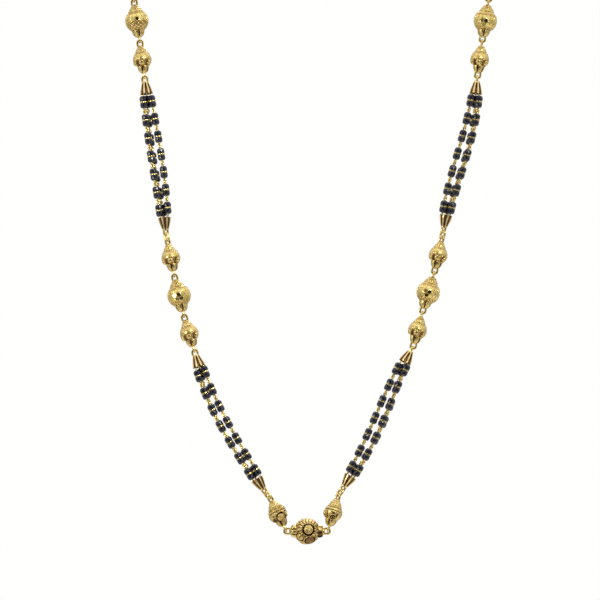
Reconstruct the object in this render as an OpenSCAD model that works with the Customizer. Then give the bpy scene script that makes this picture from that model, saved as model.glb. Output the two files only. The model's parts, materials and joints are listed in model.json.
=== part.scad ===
// Mangalsutra: a gold-coloured necklace with sections of three black bead strands.
// Z is up, the wearer looks along -Y, and the origin is the middle of the clasp at the nape.
// Left and right are as seen from the front. All sizes are in millimetres.

/* [Front string] */
// Height of the nape above the centre ball
nape_height = 257.2; // [230:0.2:290]
// Distance of the centre ball in front of the nape
centre_forward = 112; // [100:1:130]
// Sideways place of the centre ball
centre_shift = -1.6; // [-4:0.2:4]
// Lean of the front string back towards the neck, in degrees
front_lean = 8.5; // [5:0.5:12]

/* [Black beads] */
// Diameter of a black bead
bead_d = 3.0; // [2.4:0.1:3.6]
// Length of a black bead along its wire
bead_len = 2.05; // [1.6:0.05:2.6]
// Clearance round the wire in a bead's bore
bore_gap = 0.12; // [0.1:0.01:0.2]
// Clearance between a bead and the disc beside it
disc_gap = 0.12; // [0.1:0.01:0.2]
// Pairs of beads on each strand
pairs = 7; // [5:1:8]
// Bare wire between two pairs
pair_gap = 2.56; // [2:0.02:3.4]
// Distance from a cone's mouth to the nearest bead, on the mean
mouth_gap = 0.9; // [0.8:0.1:2]
// Clearance between neighbouring strands at the cones
strand_gap = 0.2; // [0.16:0.02:0.6]
// How far the strands bow apart halfway between two cones
strand_bow = 1.0; // [0.6:0.1:1.6]

/* [Strand wires] */
// Diameter of the wire through the beads
wire_d = 0.6; // [0.4:0.05:0.8]
// Diameter of the knuckle between two pairs
knuckle_d = 1.4; // [1:0.05:1.6]
// Diameter of the gold disc between the two beads of a pair
disc_d = 2.8; // [2:0.1:3]
// Thickness of the gold disc
disc_t = 0.5; // [0.3:0.05:0.8]
// Depth of the wire's end in a cone, from the mouth
wire_tuck = 1.8; // [1:0.1:2.4]

/* [Cone caps] */
// Length of a cone cap without its loop
cone_len = 5.0; // [4.4:0.1:7]
// Clearance between the strands' wires and the inside of the mouth
mouth_clear = 0.15; // [0.1:0.05:0.5]
// Diameter of the tip
cone_tip_d = 2.4; // [2:0.1:2.8]
// Thickness of the cone's wall
cone_wall = 0.35; // [0.3:0.05:0.5]
// Number of flutes round a cone
flutes = 10; // [6:1:14]
// Diameter of the round groove between two flutes
flute_d = 0.5; // [0.3:0.05:0.7]

/* [Small balls] */
// Diameter of a small ball
small_d = 7.4; // [6.8:0.1:8.2]
// Length of a small ball from cap tip to cap tip
small_len = 11.6; // [11:0.1:12.4]
// Diameter of a small ball's upper cap
small_cap_d = 4.7; // [4.4:0.1:5.2]
// Diameter of the petal cap under a small ball
small_bud_d = 4.4; // [3.8:0.1:5]
// Number of petals round a small ball
petals = 7; // [5:1:9]
// Diameter of a petal
petal_d = 2.5; // [1.8:0.1:2.8]

/* [Big balls] */
// Diameter of a big ball
big_d = 9.2; // [8.6:0.1:10]
// Length of a big ball from cap tip to cap tip
big_len = 13.6; // [13:0.1:14.6]
// Diameter of a big ball's upper cap
big_cap_d = 5.7; // [5:0.1:6.4]
// Diameter of the petal cap under a big ball
big_bud_d = 4.2; // [3.6:0.1:5]
// Width of the plain polished zone round the middle
zone_w = 3.2; // [2:0.1:4.4]

/* [Centre ball] */
// Diameter of the centre ball without its bosses
centre_d = 10.2; // [9.4:0.1:11]
// Length of the centre ball from cap tip to cap tip
centre_len = 14.2; // [13.4:0.1:15]
// Diameter of the caps at its two sides
centre_cap_d = 4.6; // [4:0.1:5]
// Diameter of a round boss
boss_d = 4.6; // [3.6:0.1:5]
// Height of a boss's rim above the ball
boss_rise = 0.3; // [0.2:0.05:0.6]
// Width of a boss's rim
boss_rim = 0.35; // [0.25:0.05:0.5]
// Width of the groove inside the rim
boss_groove = 0.45; // [0.3:0.05:0.6]
// Turn of the bosses round the ball's upright axis, in degrees
boss_turn = 6; // [-10:1:10]
// Diameter of the round boss on the front of the two lowest small balls
front_boss_d = 3.4; // [2.8:0.1:3.8]

/* [Ball rims] */
// Thickness of the rim under a dome
dome_rim = 0.55; // [0.4:0.05:0.7]
// Thickness of the rim over a flower-bud cap
bud_rim = 0.5; // [0.4:0.05:0.7]
// Thickness of the two lines beside a big ball's plain zone
zone_rim = 0.45; // [0.3:0.05:0.6]
// How far the collar of the centre ball's cap stands out
centre_step = 0.5; // [0.3:0.05:0.8]

/* [Loops and links] */
// Diameter of the wire of the loops and of the oval links
loop_wire = 0.6; // [0.5:0.05:0.65]
// Outer width of a loop
loop_w = 2.3; // [2.2:0.05:2.5]
// How far a loop stands out from its cap
loop_out = 2.3; // [2.2:0.05:2.8]
// Outer length of an oval link
link_len = 3.7; // [3.6:0.1:5]

/* [Back chain] */
// Outer length of a chain link
chain_len = 8.0; // [7:0.1:9]
// Outer width of a chain link
chain_w = 4.6; // [3.8:0.1:5.4]
// Diameter of the chain's wire
chain_wire = 0.7; // [0.5:0.05:0.75]
// Least play between two chain links
chain_play = 0.12; // [0.1:0.01:0.3]

/* [Clasp] */
// Length of the clasp's barrel
clasp_len = 9; // [7:0.5:14]
// Diameter of the clasp's barrel
clasp_d = 4.2; // [3.6:0.1:6]
// Length of the taper at each end of the barrel
clasp_taper = 0.8; // [0.4:0.1:1.6]
// Diameter of the wire of the clasp's loops
clasp_wire = 0.7; // [0.6:0.05:0.9]
// Outer width of the clasp's loops
clasp_loop_w = 3.0; // [2.8:0.1:3.6]
// How far a loop stands out from the clasp's barrel
clasp_loop_out = 2.9; // [2.7:0.1:3.6]

/* [Hidden] */
$fn = 48;

gold = [0.85, 0.66, 0.28];
black = [0.09, 0.08, 0.14];

LEFT = 0;
RIGHT = 1;
SIGN = [-1, 1];

// The pieces of a side from the centre ball outwards. Columns: kind of piece, lean of the
// piece from the vertical on the left and on the right, and turn of its upper loop on the
// left and on the right (0 shows the loop's face to the front, 90 its edge)
side_run = [
    ["centre", 90, 90, 0, 0],
    ["small", 26, 16.5, 40, 50],
    ["link", 42, 34, 130, 140],
    ["cone_up", 32, 32, 0, 0],
    ["strands", 27, 25.3, 0, 0],
    ["cone_down", 17, 28, 0, 90],
    ["small", 16.5, 15, 0, 90],
    ["big", 13.5, 16.5, 0, 90],
    ["small", 11, 12.5, 40, 50],
    ["link", 12, 10, 130, 140],
    ["cone_up", 6, 10, 0, 0],
    ["strands", 8.1, 13.6, 0, 0],
    ["cone_down", 7.5, 6, 0, 90],
    ["small", 7.5, 7.5, 0, 90],
    ["big", 8, 9, 0, 90],
    ["small", 6, 7, 0, 0],
];
KIND = 0;
LEAN = [1, 2];
TURN = [3, 4];
LOW_STRANDS = 4;
UP_STRANDS = 11;

// The three strands of a section. Columns: angle of the strand round the cones' axis, and how
// its pairs are shifted outwards (share of mouth_gap)
strand_rows = [
    [210, -0.15],
    [330, 0.15],
    [90, 0.2],
];
STRAND_ANGLE = 0;
SHIFT = 1;
LAST_STRAND = 2;

// How the strands lie in each section: left low, right low, left up, right up. Columns: how
// the strands a, b and c bow aside and how c bows to the back (shares of strand_bow), how much
// wider than the pitch the pairs of a and b are spaced, and how far the middle pairs of c slip
// outwards
section_rows = [
    [-0.05, 0.05, -1.5, 0.5, 0, 0, 0.3],
    [-0.1, 0.2, 2.2, 0.65, -0.14, 0.04, 0.3],
    [-0.45, 0.55, -1.2, 0.5, 0, -0.12, -0.8],
    [-0.3, 0.5, 1.6, 0.5, 0, 0, -0.3],
];
BACK = 3;
CREEP = 4;
SLIP = 6;

// Half outline of a black bead, from the face at the disc outwards. Columns: share of the
// bead's radius, share of its length
bead_outline = [[0.82, 0], [1, 0.22], [1, 0.6], [0.56, 1]];

// Shapes of the balls' caps, as shares of the cap's diameter: width of a dome's upper step
// and how far it rises over the dome, width of a bud's lower end, width of the centre ball's
// narrow collar, and width of the clasp's ends
dome_step_share = 0.66;
dome_rise_share = 0.12;
bud_tip_share = 0.52;
collar_share = 0.7;
clasp_end_share = 0.6;
// How far a dome's rim stands proud of the ball
dome_rim_proud = 0.1;

// Place of a petal's middle, as shares of the ball's diameter: out from the axis, and down
petal_out = 0.35;
petal_down = 0.22;

// How deep a loop's root is sunk in its cap, as a share of the loop's width
loop_root = 0.42;

// Part of a boss's groove that the dome inside it leaves free
groove_free = 0.75;

// Where a flute starts on a cone, as a share of its length, and how far its middle lies
// outside the cone, as a share of its diameter
flute_from = 0.05;
flute_out = 0.3;

// Outline of a cone cap from its tip to its mouth. Columns: share of the length, share of
// the way from the tip's radius to the mouth's
cone_outline = [[0, 0], [0.2, 0.2], [0.45, 0.52], [0.75, 0.84], [1, 1]];
cavity_floor = 0.45;

// Directions of the round bosses. Columns: angle from the front, turn round the front's axis
// from the right-hand side upwards
boss_rows = [
    [0, 0], [63.4, 72], [63.4, 144], [63.4, -144], [63.4, -72],
    [180, 0], [116.6, 36], [116.6, 108], [116.6, -108], [116.6, -36],
];

// How straight the back chain leaves the front string and the clasp
shoulder_pull = 30;
nape_pull = 45;
route_steps = 80;
// How far a wire is bare between the last bead and the bend towards the cone, and how thick
// the bend is, as a share of the wire
wire_stub = 0.35;
bend_share = 1.2;

loop_arc = (loop_w - loop_wire) / 2;
chain_hold = chain_len - chain_wire;
clasp_reach = (clasp_len - clasp_loop_w) / 2 + clasp_loop_out;

pair_len = 2 * bead_len + 2 * disc_gap + disc_t;
pitch = pair_len + pair_gap;
strands_len = 2 * mouth_gap + pair_len + (pairs - 1) * pitch;
ring_r = (bead_d + strand_gap) / sqrt(3);
tuck_r = ring_r / 2;
cone_mouth_d = 2 * (ring_r + wire_d / 2 + mouth_clear + cone_wall);

function unit(v) = v / norm(v);
function between(a, b, share) = a + (b - a) * share;

// Distance from a cap to the middle of the play between its loop and the next one
function loop_reach(turn) = loop_out - loop_wire / 2 - loop_arc * pow(cos(turn), 2);
function link_reach(turn) = link_len / 2 - loop_wire / 2 - loop_arc * pow(cos(turn), 2);

function kind_of(row) = side_run[row][KIND];
function lean_of(side, row) = side_run[row][LEAN[side]];
function turn_above(side, row) = side_run[row][TURN[side]];
function turn_below(side, row) = turn_above(side, row - 1) + 90;

// Distance from a piece's lower hinge to its middle, and from its middle to its upper hinge
function half_of(kind) = kind == "small" ? small_len / 2 : kind == "big" ? big_len / 2 : centre_len / 2;
function below(side, row) =
    let (kind = kind_of(row))
    kind == "centre" || kind == "strands" || kind == "cone_down" ? 0 :
    kind == "link" ? link_reach(turn_below(side, row)) :
    kind == "cone_up" ? loop_reach(turn_below(side, row)) :
    half_of(kind) + loop_reach(turn_below(side, row));
function above(side, row) =
    let (kind = kind_of(row))
    kind == "strands" ? strands_len :
    kind == "link" ? link_reach(turn_above(side, row)) :
    kind == "cone_up" ? cone_len :
    kind == "cone_down" ? cone_len + loop_reach(turn_above(side, row)) :
    half_of(kind) + loop_reach(turn_above(side, row));

// Direction of a piece, and of the front plane's own back-to-front axis
function heading(side, row) =
    let (a = lean_of(side, row))
    [SIGN[side] * sin(a), cos(a) * sin(front_lean), cos(a) * cos(front_lean)];
plane_back = [0, cos(front_lean), -sin(front_lean)];

centre_at = [centre_shift, -centre_forward, -nape_height];

// Middle of every piece of a side, and last the upper hinge of the outermost ball
function walk(side) = [
    for (row = 0, at = centre_at; row <= len(side_run);
         at = row >= len(side_run) ? at :
              at + above(side, row) * heading(side, row)
              + (row + 1 < len(side_run) ? below(side, row + 1) * heading(side, row + 1) : [0, 0, 0]),
         row = row + 1)
    at
];
places = [walk(LEFT), walk(RIGHT)];

// Puts children at a piece's middle with their Z along the string and their Y to the back
module at_piece(side, row) {
    translate(places[side][row])
        rotate([-front_lean, 0, 0])
            rotate([0, SIGN[side] * lean_of(side, row), 0])
                children();
}

module rod(a, b, d) {
    way = b - a;
    translate(a)
        rotate([0, acos(way.z / norm(way)), atan2(way.y, way.x)])
            cylinder(d = d, h = norm(way));
}

// Puts children in the middle of a stretch with their Z along it
module on_stretch(a, b) {
    way = b - a;
    translate((a + b) / 2)
        rotate([0, acos(way.z / norm(way)), atan2(way.y, way.x)])
            children();
}

module ring(d, wire) {
    rotate_extrude()
        translate([d / 2, 0])
            circle(d = wire);
}

// Closed oval of round wire, upright in the XZ plane round the origin
module oval(length, width, wire) {
    arc = (width - wire) / 2;
    straight = length - width;
    for (end = [-1, 1]) {
        translate([0, 0, end * straight / 2])
            rotate([90, 0, 0])
                rotate_extrude(angle = 180, start = end > 0 ? 0 : 180)
                    translate([arc, 0])
                        circle(d = wire);
        translate([end * arc, 0, -straight / 2])
            cylinder(d = wire, h = straight);
    }
}

// Loop that stands out of a cap whose tip is at the origin, with its root sunk in the cap
module cap_loop(turn, out = loop_out, width = loop_w, wire = loop_wire) {
    root = loop_root * width;
    rotate([0, 0, turn])
        translate([0, 0, (out - root) / 2])
            oval(out + root, width, wire);
}

// Stepped dome of two spheres and a rim on a ball of diameter d that ends at height top
module stepped_dome(d, cap_d, top) {
    step_d = dome_step_share * cap_d;
    cap_z = top - dome_rise_share * cap_d - cap_d / 2;
    rim_z = (d * d - cap_d * cap_d + 4 * cap_z * cap_z) / (8 * cap_z);
    translate([0, 0, cap_z])
        sphere(d = cap_d);
    translate([0, 0, top - step_d / 2])
        sphere(d = step_d);
    translate([0, 0, rim_z])
        ring(sqrt(d * d - 4 * rim_z * rim_z) + dome_rim_proud, dome_rim);
}

// Flower-bud cap under a ball of diameter d that ends at depth bottom
module bud_cap(d, bud_d, bottom) {
    rim_z = sqrt(d * d - bud_d * bud_d) / 2;
    translate([0, 0, -bottom])
        cylinder(d1 = bud_tip_share * bud_d, d2 = bud_d, h = bottom - rim_z);
    translate([0, 0, -rim_z])
        ring(bud_d, bud_rim);
}

// Height of a boss's rim over the middle of a ball of diameter d
function boss_face(d, across) = d / 2 * cos(asin(across / d)) + boss_rise;

// Round boss that looks along Z from the middle of a ball of diameter d, without its groove
module boss_body(d, across) {
    face = boss_face(d, across);
    dome_r = across / 2 - boss_rim - groove_free * boss_groove;
    foot = sqrt(d * d / 4 - dome_r * dome_r);
    rise = d / 2 + boss_rise - foot;
    dome_ball = (dome_r * dome_r + rise * rise) / (2 * rise);
    translate([0, 0, face / 2])
        cylinder(d = across, h = face / 2);
    translate([0, 0, foot + rise - dome_ball])
        sphere(r = dome_ball);
}

// Ring-shaped groove between the rim of a boss and its dome
module boss_ring_cut(d, across) {
    outer = across / 2 - boss_rim;
    rotate_extrude()
        translate([outer - boss_groove, boss_face(d, across) - boss_groove])
            square([boss_groove, 2 * boss_groove]);
}

module small_ball(side, row, front_boss = false) {
    half = small_len / 2;
    color(gold)
        at_piece(side, row)
            difference() {
                union() {
                    sphere(d = small_d);
                    stepped_dome(small_d, small_cap_d, half);
                    bud_cap(small_d, small_bud_d, half);
                    for (k = [0 : petals - 1])
                        rotate([0, 0, 360 * (k + 0.5) / petals - 90])
                            translate([petal_out * small_d, 0, -petal_down * small_d])
                                sphere(d = petal_d);
                    if (front_boss)
                        rotate([90, 0, 0])
                            boss_body(small_d, front_boss_d);
                    translate([0, 0, half])
                        cap_loop(turn_above(side, row));
                    translate([0, 0, -half])
                        mirror([0, 0, 1])
                            cap_loop(turn_below(side, row));
                }
                if (front_boss)
                    rotate([90, 0, 0])
                        boss_ring_cut(small_d, front_boss_d);
            }
}

module big_ball(side, row) {
    half = big_len / 2;
    color(gold)
        at_piece(side, row) {
            sphere(d = big_d);
            stepped_dome(big_d, big_cap_d, half);
            bud_cap(big_d, big_bud_d, half);
            for (end = [-1, 1])
                translate([0, 0, end * zone_w / 2])
                    ring(sqrt(big_d * big_d - zone_w * zone_w), zone_rim);
            translate([0, 0, half])
                cap_loop(turn_above(side, row));
            translate([0, 0, -half])
                mirror([0, 0, 1])
                    cap_loop(turn_below(side, row));
        }
}

module on_centre_ball(row) {
    rotate([0, 0, boss_turn])
        rotate([0, -row[1], 0])
            rotate([0, 0, row[0] - 90])
                rotate([0, 90, 0])
                    children();
}

module centre_ball() {
    half = centre_len / 2;
    color(gold)
        translate(centre_at)
            rotate([-front_lean, 0, 0])
                difference() {
                    union() {
                        rotate([0, 90, 0])
                            sphere(d = centre_d);
                        for (row = boss_rows)
                            on_centre_ball(row)
                                boss_body(centre_d, boss_d);
                        for (side = [LEFT, RIGHT])
                            rotate([0, 90 * SIGN[side], 0]) {
                                translate([0, 0, half / 2])
                                    cylinder(d = centre_cap_d, h = half / 2 - centre_step);
                                translate([0, 0, half / 2])
                                    cylinder(d = collar_share * centre_cap_d, h = half / 2);
                                translate([0, 0, half])
                                    cap_loop(turn_above(side, 0));
                            }
                    }
                    for (row = boss_rows)
                        on_centre_ball(row)
                            boss_ring_cut(centre_d, boss_d);
                }
}

// Hollow fluted cone with its tip at the origin and its mouth up
module cone_shell() {
    function outer_r(share) = between(cone_tip_d / 2, cone_mouth_d / 2, share);
    outside = [for (p = cone_outline) [outer_r(p[1]), p[0] * cone_len]];
    inside = [
        for (p = cone_outline)
            if (p[0] >= cavity_floor) [outer_r(p[1]) - cone_wall, p[0] * cone_len]
    ];
    difference() {
        rotate_extrude()
            polygon(concat([[0, 0]], outside, [for (k = [len(inside) - 1 : -1 : 0]) inside[k]],
                           [[0, inside[0].y]]));
        for (k = [0 : flutes - 1])
            rotate([0, 0, 360 * (k + 0.5) / flutes])
                rod([outer_r(flute_from) + flute_out * flute_d, 0, flute_from * cone_len],
                    [outer_r(1) + flute_out * flute_d, 0, cone_len + flute_d], flute_d);
    }
}

module cone_cap(side, row) {
    color(gold)
        at_piece(side, row)
            if (kind_of(row) == "cone_up") {
                cone_shell();
                mirror([0, 0, 1])
                    cap_loop(turn_below(side, row));
            } else {
                translate([0, 0, cone_len]) {
                    mirror([0, 0, 1])
                        cone_shell();
                    cap_loop(turn_above(side, row));
                }
            }
}

module oval_link(side, row) {
    color(gold)
        at_piece(side, row)
            rotate([0, 0, turn_above(side, row)])
                oval(link_len, loop_w, loop_wire);
}

function section_row(side, row) = section_rows[side + (row == UP_STRANDS ? 2 : 0)];

// Place of a strand in its section's own frame, at distance z from the lower cone's mouth.
// The middle line leaves both cones along their axes, and ring is the strand's distance from it
// where it doesn't bow
function strand_at(side, row, strand, z, ring) =
    let (
        u = min(max(z / strands_len, 0), 1),
        slope_a = tan(SIGN[side] * (lean_of(side, row - 1) - lean_of(side, row))),
        slope_b = tan(SIGN[side] * (lean_of(side, row + 1) - lean_of(side, row))),
        bend = strands_len * (slope_a * (u * u * u - 2 * u * u + u) + slope_b * (u * u * u - u * u)),
        past = z < 0 ? slope_a * z : z > strands_len ? slope_b * (z - strands_len) : 0,
        s = section_row(side, row),
        bow = strand_bow * sin(180 * u) * [s[strand], strand == LAST_STRAND ? s[BACK] : 0],
        angle = strand_rows[strand][STRAND_ANGLE]
    )
    [ring * cos(angle) + bow.x + bend + past, ring * sin(angle) + bow.y, z];

// Height of pair k over the lower mouth; k may also lie halfway between two pairs
function pair_z(side, row, strand, k) =
    let (
        s = section_row(side, row),
        creep = strand == LAST_STRAND ? 0 : s[CREEP + strand] * (k - (pairs - 1) / 2),
        slip = strand == LAST_STRAND ? s[SLIP] * sin(180 * k / (pairs - 1)) : 0
    )
    mouth_gap * (1 + strand_rows[strand][SHIFT]) + pair_len / 2 + k * pitch + creep + slip;

// Corners of a strand's wire: its bends at the lower cone, the knuckles and the upper cone.
// Pair k lies between the corners k and k + 1 of the middle part
function strand_corners(side, row, strand) =
    let (
        reach = pair_len / 2 + wire_stub,
        first = pair_z(side, row, strand, 0) - reach,
        last = pair_z(side, row, strand, pairs - 1) + reach
    )
    [
        strand_at(side, row, strand, first, ring_r),
        for (k = [0 : pairs - 2])
            strand_at(side, row, strand, pair_z(side, row, strand, k + 1 / 2), ring_r),
        strand_at(side, row, strand, last, ring_r),
    ];

// Middle of pair k on its stretch of wire, as two ends of a stretch as long as the pair
function pair_ends(corners, k) =
    let (
        a = corners[k],
        b = corners[k + 1],
        way = unit(b - a),
        rest = norm(b - a) - pair_len,
        low = k == 0 ? wire_stub : k == pairs - 1 ? rest - wire_stub : rest / 2
    )
    [a + way * low, a + way * (low + pair_len)];

// One black bead that stands on the disc's face at the origin
module bead() {
    bore_r = wire_d / 2 + bore_gap;
    rotate_extrude()
        polygon(concat([[bore_r, 0]],
                       [for (p = bead_outline) [p[0] * bead_d / 2, p[1] * bead_len]],
                       [[bore_r, bead_len]]));
}

module bead_strand(side, row, strand) {
    corners = strand_corners(side, row, strand);
    color(black)
        at_piece(side, row)
            for (k = [0 : pairs - 1]) {
                ends = pair_ends(corners, k);
                on_stretch(ends[0], ends[1])
                    for (half = [0, 1])
                        mirror([0, 0, half])
                            translate([0, 0, disc_t / 2 + disc_gap])
                                bead();
            }
}

module strand_wire(side, row, strand) {
    corners = strand_corners(side, row, strand);
    line = concat(
        [strand_at(side, row, strand, -wire_tuck, tuck_r)],
        corners,
        [strand_at(side, row, strand, strands_len + wire_tuck, tuck_r)]
    );
    color(gold)
        at_piece(side, row) {
            for (k = [0 : len(line) - 2]) {
                inset = wire_d / 4 * unit(line[k + 1] - line[k]);
                rod(line[k] + inset, line[k + 1] - inset, wire_d);
            }
            for (k = [1, len(line) - 2])
                translate(line[k])
                    sphere(d = bend_share * wire_d);
            for (k = [2 : len(line) - 3])
                translate(line[k])
                    sphere(d = knuckle_d);
            for (k = [0 : pairs - 1]) {
                ends = pair_ends(corners, k);
                on_stretch(ends[0], ends[1])
                    translate([0, 0, -disc_t / 2])
                        cylinder(d = disc_d, h = disc_t);
            }
        }
}

// Corner points of the back chain's curve, from the outermost ball to the clasp
function route_poles(side) =
    let (
        start = places[side][len(side_run)],
        finish = [SIGN[side] * clasp_reach, 0, 0]
    )
    [
        start,
        start + shoulder_pull * heading(side, len(side_run) - 1),
        finish + [SIGN[side] * nape_pull, 0, 0],
        finish,
    ];
function route_point(p, t) =
    p[0] * pow(1 - t, 3) + p[1] * 3 * t * pow(1 - t, 2) + p[2] * 3 * t * t * (1 - t) + p[3] * pow(t, 3);
routes = [for (side = [LEFT, RIGHT])
    [for (k = [0 : route_steps]) route_point(route_poles(side), k / route_steps)]];
// Distance of each point along its route
function run_lengths(route) = [
    for (k = 0, run = 0; k <= route_steps;
         run = run + (k < route_steps ? norm(route[k + 1] - route[k]) : 0), k = k + 1)
    run
];
runs = [for (route = routes) run_lengths(route)];
function on_route(side, run) =
    [for (axis = [0 : 2])
        lookup(run, [for (k = [0 : route_steps]) [runs[side][k], routes[side][k][axis]]])];

// Number of links, and the distance between the middles of two of them
function link_count(side) =
    1 + ceil((runs[side][route_steps] - chain_hold) / (chain_hold - chain_wire - chain_play));
function link_step(side) = (runs[side][route_steps] - chain_hold) / (link_count(side) - 1);
function link_ends(side, k) =
    [on_route(side, k * link_step(side)), on_route(side, k * link_step(side) + chain_hold)];
function link_way(side, k) = unit(link_ends(side, k)[1] - link_ends(side, k)[0]);
// Cross direction carried along the chain from the front plane, square to each link's way
function squared(v, way) = unit(v - (v * way) * way);
function cross_ways(side) = [
    for (k = 0, v = squared(plane_back, link_way(side, 0)); k < link_count(side);
         k = k + 1, v = k < link_count(side) ? squared(v, link_way(side, k)) : v)
    v
];
// Turn that brings the last link square to the clasp's loop, spread over the whole chain
function end_turn(side, ways) =
    let (
        last = link_count(side) - 1,
        way = link_way(side, last),
        now = last % 2 == 0 ? ways[last] : cross(way, ways[last]),
        goal = squared([0, 1, 0], way),
        turn = atan2(cross(now, goal) * way, now * goal)
    )
    turn > 90 ? turn - 180 : turn < -90 ? turn + 180 : turn;

module back_chain(side) {
    count = link_count(side);
    ways = cross_ways(side);
    twist = end_turn(side, ways) / (count - 1);
    color(gold)
        for (k = [0 : count - 1]) {
            ends = link_ends(side, k);
            way = link_way(side, k);
            wide = ways[k];
            deep = cross(way, wide);
            middle = (ends[0] + ends[1]) / 2;
            multmatrix([
                [wide.x, deep.x, way.x, middle.x],
                [wide.y, deep.y, way.y, middle.y],
                [wide.z, deep.z, way.z, middle.z],
            ])
                rotate([0, 0, (k % 2) * 90 + twist * k])
                    oval(chain_len, chain_w, chain_wire);
        }
}

module clasp() {
    color(gold)
        for (end = [-1, 1])
            rotate([0, 90 * end, 0]) {
                cylinder(d = clasp_d, h = clasp_len / 2 - clasp_taper);
                translate([0, 0, clasp_len / 2 - clasp_taper])
                    cylinder(d1 = clasp_d, d2 = clasp_end_share * clasp_d, h = clasp_taper);
                translate([0, 0, clasp_len / 2])
                    cap_loop(0, clasp_loop_out, clasp_loop_w, clasp_wire);
            }
}

centre_ball();  // ball_centre
small_ball(LEFT, 1, true);  // ball_left_1
small_ball(LEFT, 6);  // ball_left_2
big_ball(LEFT, 7);  // ball_left_3
small_ball(LEFT, 8);  // ball_left_4
small_ball(LEFT, 13);  // ball_left_5
big_ball(LEFT, 14);  // ball_left_6
small_ball(LEFT, 15);  // ball_left_7
small_ball(RIGHT, 1, true);  // ball_right_1
small_ball(RIGHT, 6);  // ball_right_2
big_ball(RIGHT, 7);  // ball_right_3
small_ball(RIGHT, 8);  // ball_right_4
small_ball(RIGHT, 13);  // ball_right_5
big_ball(RIGHT, 14);  // ball_right_6
small_ball(RIGHT, 15);  // ball_right_7
cone_cap(LEFT, 3);  // cone_left_1
cone_cap(LEFT, 5);  // cone_left_2
cone_cap(LEFT, 10);  // cone_left_3
cone_cap(LEFT, 12);  // cone_left_4
cone_cap(RIGHT, 3);  // cone_right_1
cone_cap(RIGHT, 5);  // cone_right_2
cone_cap(RIGHT, 10);  // cone_right_3
cone_cap(RIGHT, 12);  // cone_right_4
oval_link(LEFT, 2);  // link_left_1
oval_link(LEFT, 9);  // link_left_2
oval_link(RIGHT, 2);  // link_right_1
oval_link(RIGHT, 9);  // link_right_2
bead_strand(LEFT, LOW_STRANDS, 0);  // beads_left_low_a
bead_strand(LEFT, LOW_STRANDS, 1);  // beads_left_low_b
bead_strand(LEFT, LOW_STRANDS, 2);  // beads_left_low_c
bead_strand(LEFT, UP_STRANDS, 0);  // beads_left_up_a
bead_strand(LEFT, UP_STRANDS, 1);  // beads_left_up_b
bead_strand(LEFT, UP_STRANDS, 2);  // beads_left_up_c
bead_strand(RIGHT, LOW_STRANDS, 0);  // beads_right_low_a
bead_strand(RIGHT, LOW_STRANDS, 1);  // beads_right_low_b
bead_strand(RIGHT, LOW_STRANDS, 2);  // beads_right_low_c
bead_strand(RIGHT, UP_STRANDS, 0);  // beads_right_up_a
bead_strand(RIGHT, UP_STRANDS, 1);  // beads_right_up_b
bead_strand(RIGHT, UP_STRANDS, 2);  // beads_right_up_c
strand_wire(LEFT, LOW_STRANDS, 0);  // wire_left_low_a
strand_wire(LEFT, LOW_STRANDS, 1);  // wire_left_low_b
strand_wire(LEFT, LOW_STRANDS, 2);  // wire_left_low_c
strand_wire(LEFT, UP_STRANDS, 0);  // wire_left_up_a
strand_wire(LEFT, UP_STRANDS, 1);  // wire_left_up_b
strand_wire(LEFT, UP_STRANDS, 2);  // wire_left_up_c
strand_wire(RIGHT, LOW_STRANDS, 0);  // wire_right_low_a
strand_wire(RIGHT, LOW_STRANDS, 1);  // wire_right_low_b
strand_wire(RIGHT, LOW_STRANDS, 2);  // wire_right_low_c
strand_wire(RIGHT, UP_STRANDS, 0);  // wire_right_up_a
strand_wire(RIGHT, UP_STRANDS, 1);  // wire_right_up_b
strand_wire(RIGHT, UP_STRANDS, 2);  // wire_right_up_c
back_chain(LEFT);  // chain_left
back_chain(RIGHT);  // chain_right
clasp();
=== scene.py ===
import json
import math
import random

import bpy
import numpy as np
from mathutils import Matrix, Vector

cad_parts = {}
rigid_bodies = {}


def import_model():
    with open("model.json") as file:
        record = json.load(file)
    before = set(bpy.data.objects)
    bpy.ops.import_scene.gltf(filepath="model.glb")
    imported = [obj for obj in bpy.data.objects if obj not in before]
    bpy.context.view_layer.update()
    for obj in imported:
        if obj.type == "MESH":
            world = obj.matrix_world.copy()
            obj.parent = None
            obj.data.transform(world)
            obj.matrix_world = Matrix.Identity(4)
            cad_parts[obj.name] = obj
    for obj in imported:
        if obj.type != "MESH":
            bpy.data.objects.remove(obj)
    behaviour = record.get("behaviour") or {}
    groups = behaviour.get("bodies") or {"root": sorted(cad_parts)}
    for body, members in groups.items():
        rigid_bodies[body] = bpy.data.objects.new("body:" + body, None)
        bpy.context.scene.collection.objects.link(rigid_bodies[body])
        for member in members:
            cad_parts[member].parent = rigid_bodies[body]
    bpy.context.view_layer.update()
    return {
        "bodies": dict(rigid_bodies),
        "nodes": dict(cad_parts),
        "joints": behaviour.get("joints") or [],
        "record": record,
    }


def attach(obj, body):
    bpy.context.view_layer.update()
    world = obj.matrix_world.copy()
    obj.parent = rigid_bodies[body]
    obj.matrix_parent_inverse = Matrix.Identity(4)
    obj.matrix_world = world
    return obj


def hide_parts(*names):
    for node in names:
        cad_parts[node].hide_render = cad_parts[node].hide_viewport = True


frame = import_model()
random.seed(7)
scene = bpy.context.scene

MM = 0.001
TAU = 2 * math.pi

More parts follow.
